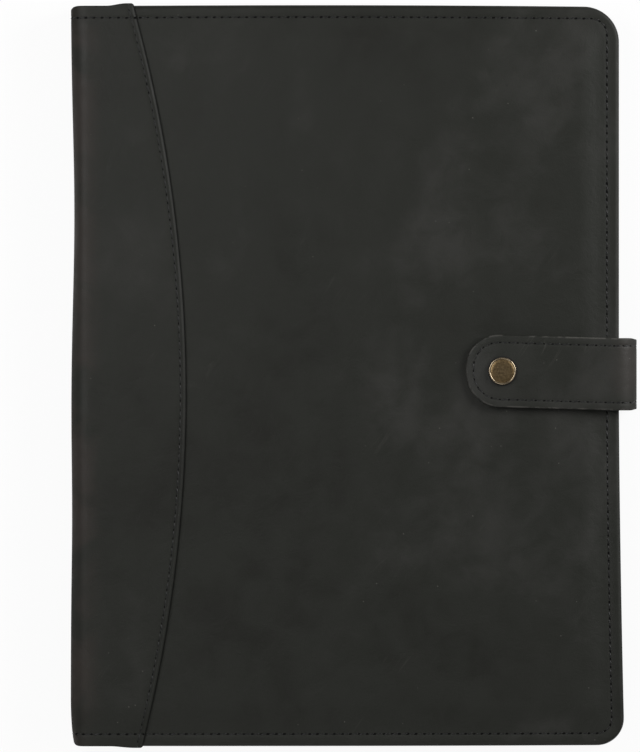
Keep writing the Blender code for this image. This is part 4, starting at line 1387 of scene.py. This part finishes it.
class PADFOLIO_OT_spine_wrap(bpy.types.Operator):
    """Builds the leather round the spine as two halves, with their stitches"""

    bl_idname = "padfolio.spine_wrap"
    bl_label = "Spine wrap"

    def execute(self, context):
        stitch = settings().stitch
        for side, label in ((1, "front"), (-1, "back")):
            panel = wrap_panel(side)
            piece = add_panel(f"{label}_wrap", panel, "wrap_leather", "cover_leather")
            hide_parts(f"{label}_wing", "spine_wrap")
            curve, ends = wrap_rows(panel)
            parts = [piece, sew(f"{label}_wing_stitches", curve, stitch.wing_pitch, stitch.fine_hole)]
            parts.append(sew(f"{label}_wrap_end_stitches", ends, stitch.cover_pitch, stitch.hole))
            for part in parts:
                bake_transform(part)
        return {"FINISHED"}


# Linings


def lining_panel(label):
    """Cloth that lines one cover."""
    low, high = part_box(f"{label}_cover_lining")
    side = 1 if label == "back" else -1
    level = high.z if side > 0 else low.z
    from_rim = FORE_X - high.x
    corner = settings().cover.head_corner - from_rim
    rows = (settings().cover.row_inset - from_rim,)
    spans = (low.x, high.x), (low.y, high.y)
    done = (False, True, True, True)
    corners = ((0.0, corner), (0.0, corner))
    place = flat_place(level, side)
    return even_sheet(spans, done, corners, high.z - low.z, place, corner + MM, 6 * MM, rows)


def gutter_panel(side):
    """Cloth that runs from one cover's lining over the gutter to the middle of the spine."""
    inside = settings().inside
    low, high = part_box("back_cover_lining")
    face_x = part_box("spine_lining")[0].x + (high.z - low.z)
    overlap = 0.9 * MM
    start = Vector((low.x + overlap, high.z + inside.cloth / 2))
    end = Vector((face_x, SPINE_MIDDLE))
    towards = start - Vector((4.5 * MM, 0.0))
    away = end - Vector((0.0, 6.0 * MM))
    path = Path(interpolate_bezier(start, towards, away, end, GUTTER_STEPS + 1))

    def place(u, v, height, a, b):
        point = path.at(u, -height)
        return Vector((point.x, v, point.y if side < 0 else WRAP_LOW + WRAP_HIGH - point.y))

    spans = (0.0, path.length), (low.y, high.y)
    done = (False, False, True, True)
    return even_sheet(spans, done, SQUARE, inside.cloth, place, MM, 1.5 * MM)


class PADFOLIO_OT_linings(bpy.types.Operator):
    """Builds the cloth linings of the covers and of the gutter"""

    bl_idname = "padfolio.linings"
    bl_label = "Linings"

    def execute(self, context):
        for side, label in ((1, "front"), (-1, "back")):
            lining = add_panel(f"{label}_lining", lining_panel(label), "woven_cloth", "lining_cloth")
            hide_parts(f"{label}_cover_lining")
            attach(lining, f"{label}_cover")
            gutter = add_panel(f"{label}_gutter_cloth", gutter_panel(side), "woven_cloth", "lining_cloth")
            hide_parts("spine_lining")
            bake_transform(gutter)
        return {"FINISHED"}


# Pockets


def pocket_panel(node, side, corners, rise=0.0, border=0.0, open_head=False):
    """Leather panel sewn on a lining; a sleeve's middle rises past its border."""
    inside = settings().inside
    low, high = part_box(node)
    thickness = high.z - low.z - rise
    base = low.z if side > 0 else high.z
    half = thickness / 2
    reach = max(max(max(pair) for pair in corners) + MM, border + 4 * MM, 6 * MM)

    def lift(inset):
        return rise * smooth((inset - 0.7 * border) / (0.6 * border)) if rise else 0.0

    def outer(a, b):
        inset = min(a, b)
        return half + edge_height(inset, half) - groove(inset - inside.row_inset) + lift(inset)

    def inner(a, b):
        inset = min(a, b)
        return half - edge_height(inset, half) + lift(inset)

    edge = edge_lines(half, (inside.row_inset,), reach)
    lines = (edge, edge, reach, 6 * MM)
    done = (True, True, True, not open_head)
    place = flat_place(base, side)
    return Panel((low.x, high.x), (low.y, high.y), done, corners, lines, outer, inner, place)


def pocket_rows(panel, head=True):
    """Row of stitches down one side of a pocket, along its foot and up the other, and along its head."""
    inset = settings().inside.row_inset
    (left, right), (foot, top) = panel.spans
    left, right, foot = left + inset, right - inset, foot + inset
    sides = [(left, top - MM), (left, foot), (right, foot), (right, top - MM)]
    rows = [panel.row(sides)]
    if head:
        rows.append(panel.row([(left + 2 * MM, top - inset), (right - 2 * MM, top - inset)]))
    return rows


def add_sewn(node, panel, rows, body):
    """Leather piece of the inside, with the stitches that hold it down."""
    piece = add_panel(f"{node}_leather", panel, "pocket_leather", "inner_leather")
    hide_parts(node)
    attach(piece, body)
    stitch = settings().stitch
    sizes = (stitch.pocket_pitch, stitch.fine_hole)
    stitches = sew(f"{node}_stitches", rows, *sizes, "inner_leather")
    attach(stitches, body)


class PADFOLIO_OT_pockets(bpy.types.Operator):
    """Builds the document pocket, the card slots and the pad's sleeve, and sews them down"""

    bl_idname = "padfolio.pockets"
    bl_label = "Pockets"

    def execute(self, context):
        inside = settings().inside
        square = inside.square_corner
        fore = settings().cover.foot_corner - (FORE_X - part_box("document_pocket")[1].x)
        open_corners = ((square, fore), (square, square))
        slot_corner = 3 * MM
        slots = ("card_slot_upper", "card_slot_middle", "card_slot_lower")
        jobs = [("document_pocket", -1, open_corners, "front_cover")]
        jobs += [(name, -1, ((slot_corner,) * 2,) * 2, "front_cover") for name in slots]
        for node, side, corners, body in jobs:
            panel = pocket_panel(node, side, corners)
            add_sewn(node, panel, pocket_rows(panel), body)
        card_low, card_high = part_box("pad_back_card")
        rise = card_high.z - card_low.z + 0.3 * MM
        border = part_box("pad_paper")[0].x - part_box("pad_sleeve")[0].x
        panel = pocket_panel("pad_sleeve", 1, open_corners, rise, border, open_head=True)
        add_sewn("pad_sleeve", panel, pocket_rows(panel, head=False), "back_cover")
        return {"FINISHED"}


class PADFOLIO_OT_pen_loop(bpy.types.Operator):
    """Builds the pen loop from one strip of leather with a foot on each side"""

    bl_idname = "padfolio.pen_loop"
    bl_label = "Pen loop"

    def execute(self, context):
        inside = settings().inside
        low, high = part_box("pen_loop")
        thickness = inside.pen_leather
        outer_radius = (high.z - low.z) / 2
        centre = Vector(((low.x + high.x) / 2, high.z - outer_radius))
        drop = centre.y - (low.z + thickness + inside.pen_fillet)
        aside = math.sqrt((outer_radius + inside.pen_fillet) ** 2 - drop**2)
        dip = math.degrees(math.atan2(drop, aside))
        foot = low.z + thickness
        left = (centre.x - aside, foot + inside.pen_fillet)
        right = (centre.x + aside, foot + inside.pen_fillet)
        points = [(centre.x - inside.pen_foot, foot)]
        points += arc(left, inside.pen_fillet, -90, dip)
        points += arc(centre, outer_radius, 180 + dip, -dip)
        points += arc(right, inside.pen_fillet, 180 - dip, 270)
        points += [(centre.x + inside.pen_foot, foot)]
        path = Path(points)

        def place(u, v, height, a, b):
            point = path.at(u, height)
            return Vector((point.x, v, point.y))

        spans = (0.0, path.length), (low.y, high.y)
        corners = ((MM, MM), (MM, MM))
        panel = even_sheet(spans, (True,) * 4, corners, thickness, place, 2 * MM, 0.7 * MM)
        seam = 1.0 * MM
        foot_end, head_end = low.y + 2 * MM, high.y - 2 * MM
        rows = [panel.row([(u, foot_end), (u, head_end)]) for u in (seam, path.length - seam)]
        add_sewn("pen_loop", panel, rows, "back_cover")
        return {"FINISHED"}


# Strap


def tab_middle(x):
    """Middle line of the strap, which runs at a slight tilt to the snap."""
    bend_x = STRAP_X - settings().strap.upper_radius
    tilt = (SNAP.y - STRAP_MIDDLE) / (bend_x - SNAP.x)
    return STRAP_MIDDLE + max(bend_x - x, 0.0) * tilt


def strap_path(upper):
    """Outer face of half of the strap, from the middle of the fore-edge to one of its ends."""
    strap = settings().strap
    high = STRAP_HIGH - strap.upper_radius
    low = STRAP_LOW + strap.lower_radius
    start = (STRAP_X, (high + low) / 2)
    if upper:
        bend = arc((STRAP_X - strap.upper_radius, high), strap.upper_radius, 0, 90)
        return Path([start, *bend, (TAB_TIP_X, STRAP_HIGH)])
    bend = arc((STRAP_X - strap.lower_radius, low), strap.lower_radius, 0, -90)
    return Path([start, *bend, (ROOT_TIP_X, STRAP_LOW)])


def strap_panel(upper, layer):
    """Face or lining of half of the strap."""
    strap = settings().strap
    path = strap_path(upper)
    side = -1 if upper else 1
    seam = 0.05 * MM
    bury = 0.0 if layer == "face" else strap.face + seam
    thickness = strap.face if layer == "face" else strap.lining
    rows = (strap.row_inset,) if layer == "face" else ()
    half_width = (STRAP_HEAD - STRAP_FOOT) / 2
    end = path.length
    if layer == "lining" and not upper:
        end = path.length - (STRAP_X - strap.lower_radius - ROOT_TIP_X) - strap.lining_gap

    def place(u, v, height, a, b):
        point = path.at(u, side * height)
        from_rim = STRAP_X - path.at(u, 0.0).x
        v *= 1 - strap.pinch / half_width * bell(from_rim / strap.pinch_size)
        if not upper:
            return Vector((point.x, STRAP_MIDDLE + v, point.y))
        y = tab_middle(point.x) + v
        past = max(SNAP.x - point.x, 0.0) / (SNAP.x - TAB_TIP_X)
        from_snap = math.hypot(point.x - SNAP.x, y - SNAP.y)
        sag = 1 - bell(from_snap / strap.sag_start)
        sag *= strap.sag * smooth(from_rim / strap.upper_radius)
        dimple = strap.dimple * bell(from_snap / strap.dimple_size)
        return Vector((point.x, y, point.y - sag - strap.droop * past**2 - dimple))

    corner = strap.corner if upper else strap.root_corner
    if end < path.length:
        corner = MM
    reach = min(corner + 2 * MM, half_width - 0.3 * MM)
    spans = (0.0, end), (-half_width, half_width)
    done = (False, True, True, True)
    corners = ((0.0, corner), (0.0, corner))
    return even_sheet(spans, done, corners, thickness, place, reach, 1.2 * MM, rows, bury)


def strap_rows(panel):
    """Row of stitches along both edges of the strap and round its end."""
    inset = settings().strap.row_inset
    end = panel.spans[0][1] - inset
    low, high = panel.spans[1]
    low, high = low + inset, high - inset
    return [panel.row([(0.5 * MM, high), (end, high), (end, low), (0.5 * MM, low)])]


class PADFOLIO_OT_strap(bpy.types.Operator):
    """Builds the strap as two sewn halves that bend round the fore-edge"""

    bl_idname = "padfolio.strap"
    bl_label = "Strap"

    def execute(self, context):
        strap = settings().strap
        stitch = settings().stitch
        upper_start = (STRAP_X - strap.upper_radius, 0.0, STRAP_HIGH)
        upper_end = (STRAP_X, 0.0, STRAP_HIGH - strap.upper_radius)
        lower_start = (STRAP_X, 0.0, STRAP_LOW + strap.lower_radius)
        lower_end = (STRAP_X - strap.lower_radius, 0.0, STRAP_LOW)
        halves = (
            ("tab", True, ("strap_tab", "strap_web", upper_start, upper_end)),
            ("root", False, ("strap_web", "back_cover", lower_start, lower_end)),
        )
        stands_for = {
            "tab_face": ("strap_tab_face", "strap_web_face"),
            "tab_lining": ("strap_tab_lining", "strap_web_lining"),
            "root_face": ("strap_root",),
            "root_lining": ("strap_web_lining",),
        }
        for label, upper, (first, second, start, end) in halves:
            face = strap_panel(upper, "face")
            lining = strap_panel(upper, "lining")
            parts = [
                add_panel(f"{label}_face", face, "strap_leather", "cover_leather"),
                add_panel(f"{label}_lining", lining, "pocket_leather", "inner_leather"),
            ]
            for part in parts:
                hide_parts(*stands_for[part.name])
            rows = strap_rows(face)
            parts.append(sew(f"{label}_stitches", rows, stitch.strap_pitch, stitch.fine_hole))
            for part in parts:
                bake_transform(part)
        return {"FINISHED"}


# Snap


class PADFOLIO_OT_snap(bpy.types.Operator):
    """Builds the snap: a cap and a socket on the strap, and a stud on the front cover"""

    bl_idname = "padfolio.snap"
    bl_label = "Snap"

    def execute(self, context):
        self.add("snap_cap", self.cap(), "strap_tab", "snap_cap")
        self.add("snap_socket", self.socket(), "strap_tab", "snap_socket")
        self.add("snap_stud", self.stud(), "front_cover", "snap_stud", "snap_post")
        return {"FINISHED"}

    def add(self, name, profile, body, *nodes):
        """One turned part of the snap."""
        piece = add_turned(f"{name}_brass", profile, "antique_brass", "snap_brass")
        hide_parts(*nodes)
        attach(piece, body)

    def cap(self):
        """Cap with a shallow face inside a rolled rim, and the barrel under it."""
        low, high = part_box("snap_cap")
        seat = STRAP_HIGH - settings().strap.dimple - 0.1 * MM
        roll = 0.42 * MM
        barrel = 1.6 * MM
        top = high.z
        face = top - 0.12 * MM
        middle = top - roll
        ring = CAP_RADIUS - roll
        profile = [(0.0, face + 0.06 * MM, 0.12), (0.35 * ring, face + 0.05 * MM, 0.1)]
        profile += [(0.7 * ring, face, 0.06), (ring - 1.3 * roll, face - 0.05 * MM, 0.0)]
        for r, z in arc((ring, middle), roll, 160, -20):
            profile.append((r, z, max(0.0, (z - middle) / roll)))
        profile += [(CAP_RADIUS - 0.15 * MM, seat + 0.1 * MM, 0.1), (CAP_RADIUS - 0.5 * MM, seat, 0.0)]
        return profile + [(barrel, seat, 0.0), (barrel, low.z, 0.0), (0.0, low.z, 0.0)]

    def socket(self):
        """Socket with a rolled lip round the hollow that takes the stud."""
        low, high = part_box("snap_socket")
        radius = (high.x - low.x) / 2
        hollow = 3.3 * MM
        lip = 0.45 * MM
        profile = [(0.0, high.z - 0.6 * MM, 0.0), (hollow, high.z - 0.6 * MM, 0.0)]
        profile += [(hollow, low.z + lip, 0.2)]
        profile += [(r, z, 0.8) for r, z in arc((hollow + lip, low.z + lip), lip, 180, 360)]
        profile += [(hollow + 2.4 * lip, low.z + 1.4 * lip, 0.1)]
        profile += [(radius - 2 * lip, low.z + 1.6 * lip, 0.1)]
        profile += [(r, z, 0.5) for r, z in arc((radius - lip, low.z + 1.6 * lip), lip, -90, 0)]
        return profile + [(radius, high.z - lip, 0.2), (radius - lip, high.z, 0.0), (0.0, high.z, 0.0)]

    def stud(self):
        """Stud with a flange, a waisted neck, a round head and a dimple where its post is spread."""
        low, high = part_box("snap_stud")
        flange = (high.x - low.x) / 2
        head = 3.0 * MM
        seat = FRONT_FACE - 0.25 * MM
        step = 0.45 * MM
        profile = [(0.0, seat, 0.0), (flange - 0.2 * MM, seat, 0.0), (flange, seat + 0.2 * MM, 0.3)]
        profile += [(flange - 0.2 * MM, seat + 0.5 * MM, 0.5), (head + 0.3 * MM, seat + 0.7 * MM, 0.1)]
        profile += [(head - 0.5 * MM, seat + 1.1 * MM, 0.0)]
        profile += [(r, z, 0.7) for r, z in arc((head - step, high.z - step), step, -40, 90)]
        profile += [(1.7 * MM, high.z, 0.4), (1.3 * MM, high.z - 0.35 * MM, 0.0)]
        return profile + [(0.0, high.z - 0.4 * MM, 0.0)]


# Writing pad


def sheet_tree():
    """Geometry nodes that stack sheets of paper, each a little out of line with the others."""
    inputs = {"Sheet Size": "Vector", "Stray": "Vector", "Seed": "Int"}
    inputs.update({"Paper": "Material", "Top Sheet": "Material"})
    group = geometry_group("padfolio_sheets", inputs)
    tree = Tree(group)
    given = tree.add("NodeGroupInput").outputs
    sheet = tree.add("GeometryNodeMeshCube", {"Size": given["Sheet Size"]}).outputs[0]
    index = tree.add("GeometryNodeInputIndex").outputs[0]
    back = tree.vector("SCALE", given["Stray"], -1.0)
    inputs = {0: back, 1: given["Stray"], 7: index, 8: given["Seed"]}
    stray = tree.add("FunctionNodeRandomValue", inputs, data_type="FLOAT_VECTOR").outputs[0]
    inputs = {"Points": given["Geometry"], "Instance": sheet}
    copies = tree.add("GeometryNodeInstanceOnPoints", inputs).outputs[0]
    inputs = {"Instances": copies, "Translation": stray}
    moved = tree.add("GeometryNodeTranslateInstances", inputs).outputs[0]
    real = tree.add("GeometryNodeRealizeInstances", {"Geometry": moved}).outputs[0]
    paper = tree.add("GeometryNodeSetMaterial", {"Geometry": real, "Material": given["Paper"]}).outputs[0]
    facing = tree.add("GeometryNodeInputNormal").outputs[0]
    upward = tree.add("ShaderNodeSeparateXYZ", {0: facing}).outputs["Z"]
    chosen = tree.math("GREATER_THAN", upward, 0.5)
    inputs = {"Geometry": paper, "Selection": chosen, "Material": given["Top Sheet"]}
    tree.add("NodeGroupOutput", {0: tree.add("GeometryNodeSetMaterial", inputs).outputs[0]})
    return group


class PADFOLIO_OT_notepad(bpy.types.Operator):
    """Builds the writing pad: a card, a stack of sheets and a binding tape"""

    bl_idname = "padfolio.notepad"
    bl_label = "Writing pad"

    def execute(self, context):
        self.add_card()
        self.add_sheets()
        self.add_tape()
        return {"FINISHED"}

    def add_card(self):
        """Back card with rounded edges."""
        low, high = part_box("pad_back_card")
        spans = (low.x, high.x), (low.y, high.y)
        corners = ((MM, MM), (MM, MM))
        place = flat_place(high.z, 1)
        panel = even_sheet(spans, (True,) * 4, corners, high.z - low.z, place, 3 * MM, 20 * MM)
        card = add_panel("pad_card", panel, "grey_card", "pad_card")
        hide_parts("pad_back_card")
        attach(card, "notepad")

    def add_sheets(self):
        """Sheets of paper, one by one."""
        count = settings().inside.sheets
        low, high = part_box("pad_paper")
        pitch = (high.z - low.z) / count
        middle = (low + high) / 2
        points = [(middle.x, middle.y, low.z + pitch * (index + 0.5)) for index in range(count)]
        mesh = bpy.data.meshes.new("pad_sheet_places")
        mesh.from_pydata(points, [], [])
        values = {
            "Sheet Size": (high.x - low.x - 0.3 * MM, high.y - low.y - 0.3 * MM, 0.9 * pitch),
            "Stray": (0.12 * MM, 0.12 * MM, 0.0),
            "Seed": 3,
            "Paper": finish_named("writing_paper"),
            "Top Sheet": finish_named("ruled_paper"),
        }
        sheets = grown("pad_sheets", mesh, sheet_tree(), values)
        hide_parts("pad_paper")
        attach(sheets, "notepad")

    def add_tape(self):
        """Tape over the head of the pad, from its face to its back card."""
        low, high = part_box("pad_binding")
        paper_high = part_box("pad_paper")[1]
        thickness = 0.35 * MM
        bend = 1.0 * MM
        head = high.y
        top = paper_high.z + thickness + 0.05 * MM
        corner = arc((head - bend, top - bend), bend, 90, 0)
        path = Path([(low.y, top), *corner, (head, low.z)])

        def place(u, v, height, a, b):
            point = path.at(u, height)
            return Vector((v, point.x, point.y))

        spans = (0.0, path.length), (low.x, high.x)
        panel = even_sheet(spans, (True,) * 4, SQUARE, thickness, place, MM, MM)
        tape = add_panel("pad_tape", panel, "bookcloth_tape", "binding_tape")
        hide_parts("pad_binding")
        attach(tape, "notepad")


# Stage


def floor_finish():
    """Pale floor that is seen as near white and still takes the object's shadow."""
    stage = settings().stage
    material = bpy.data.materials.new("pale_floor")
    material.use_nodes = True
    tree = Tree(material.node_tree)
    matt = tree.nodes["Principled BSDF"]
    matt.inputs["Base Color"].default_value = (*settings().finish.floor, 1.0)
    matt.inputs["Roughness"].default_value = 0.9
    matt.inputs["Specular IOR Level"].default_value = 0.1
    white = tree.add("ShaderNodeEmission", {"Strength": 1.0})
    rays = tree.add("ShaderNodeLightPath").outputs
    seen = tree.math("MAXIMUM", rays["Is Camera Ray"], rays["Is Glossy Ray"])
    seen = tree.math("MAXIMUM", seen, rays["Is Transmission Ray"])
    amount = tree.math("MULTIPLY", seen, stage.floor_white)
    mixed = tree.add("ShaderNodeMixShader", {0: amount, 1: matt.outputs[0], 2: white.outputs[0]})
    tree.links.new(mixed.outputs[0], tree.nodes["Material Output"].inputs["Surface"])
    return material


class PADFOLIO_OT_stage(bpy.types.Operator):
    """Builds the floor, the soft lamps, the even light all round and the camera"""

    bl_idname = "padfolio.stage"
    bl_label = "Stage"

    def execute(self, context):
        self.add_floor()
        self.add_light()
        self.add_camera(context.scene)
        context.scene.view_settings.view_transform = "Standard"
        return {"FINISHED"}

    def add_floor(self):
        """Wide round floor just under the padfolio, turned up into a low backdrop far away."""
        level = CAD_BOX[0].z - settings().stage.floor_gap
        outline = ((0.0, 0.0), (2.0, 0.0), (30.0, 0.0), (36.0, 0.6), (39.0, 2.0), (40.0, 4.0))
        profile = [(radius, level + rise, rise) for radius, rise in outline]
        points, faces, _ = turned(profile, Vector())
        mesh = bpy.data.meshes.new("floor")
        mesh.from_pydata(points, [], faces)
        mesh.materials.append(floor_finish())
        floor = bpy.data.objects.new("floor", mesh)
        bpy.context.scene.collection.objects.link(floor)

    def add_light(self):
        """Even light all round, a soft lamp on each side and a weak one at the foot."""
        stage = settings().stage
        world = bpy.data.worlds.new("studio")
        world.use_nodes = True
        background = world.node_tree.nodes["Background"]
        background.inputs["Color"].default_value = (1.0, 1.0, 1.0, 1.0)
        background.inputs["Strength"].default_value = stage.world
        bpy.context.scene.world = world
        self.add_lamp("key", stage.key_place, stage.key)
        self.add_lamp("fill", stage.fill_place, stage.fill)
        self.add_lamp("low", stage.low_place, stage.low)

    def add_lamp(self, name, place, power):
        """Square soft lamp that faces the padfolio."""
        lamp = bpy.data.lights.new(name, "AREA")
        lamp.size = settings().stage.lamp_size
        lamp.energy = power
        holder = bpy.data.objects.new(name, lamp)
        holder.location = place
        holder.rotation_euler = (-Vector(place)).to_track_quat("-Z", "Y").to_euler()
        bpy.context.scene.collection.objects.link(holder)

    def add_camera(self, scene):
        """Camera straight above the front cover, far enough away to see it square."""
        stage = settings().stage
        data = bpy.data.cameras.new("camera")
        data.lens = stage.lens
        data.clip_end = 100.0
        camera = bpy.data.objects.new("camera", data)
        distance = stage.frame_height * stage.lens / data.sensor_width
        camera.location = (stage.aim_x, stage.aim_y, FRONT_FACE + distance)
        scene.collection.objects.link(camera)
        scene.camera = camera


# Panel and registration

OPERATORS = (
    PADFOLIO_OT_covers,
    PADFOLIO_OT_spine_wrap,
    PADFOLIO_OT_linings,
    PADFOLIO_OT_pockets,
    PADFOLIO_OT_pen_loop,
    PADFOLIO_OT_strap,
    PADFOLIO_OT_snap,
    PADFOLIO_OT_notepad,
    PADFOLIO_OT_stage,
)


class PADFOLIO_PT_panel(bpy.types.Panel):
    """Lists the steps that build the padfolio, and their settings"""

    bl_label = "Padfolio"
    bl_space_type = "VIEW_3D"
    bl_region_type = "UI"
    bl_category = "Padfolio"

    def draw(self, context):
        for step in OPERATORS:
            self.layout.operator(step.bl_idname)
        for group in PadfolioSettings.__annotations__:
            box = self.layout.box()
            box.label(text=group.capitalize())
            values = getattr(context.scene.padfolio, group)
            for name in type(values).__annotations__:
                box.prop(values, name)


CLASSES = (
    CoverSettings,
    SpineSettings,
    StrapSettings,
    InsideSettings,
    StitchSettings,
    FinishSettings,
    StageSettings,
    PadfolioSettings,
    *OPERATORS,
    PADFOLIO_PT_panel,
)


def register():
    """Makes the settings, operators and panel known to Blender."""
    for kind in CLASSES:
        bpy.utils.register_class(kind)
    bpy.types.Scene.padfolio = PointerProperty(type=PadfolioSettings)


def unregister():
    """Takes the settings, operators and panel away again."""
    del bpy.types.Scene.padfolio
    for kind in reversed(CLASSES):
        bpy.utils.unregister_class(kind)


def main():
    """Builds the padfolio piece by piece, then its stage."""
    register()
    bpy.ops.padfolio.covers()
    bpy.ops.padfolio.spine_wrap()
    bpy.ops.padfolio.linings()
    bpy.ops.padfolio.pockets()
    bpy.ops.padfolio.pen_loop()
    bpy.ops.padfolio.strap()
    bpy.ops.padfolio.snap()
    bpy.ops.padfolio.notepad()
    bpy.ops.padfolio.stage()


if __name__ == "__main__":
    main()
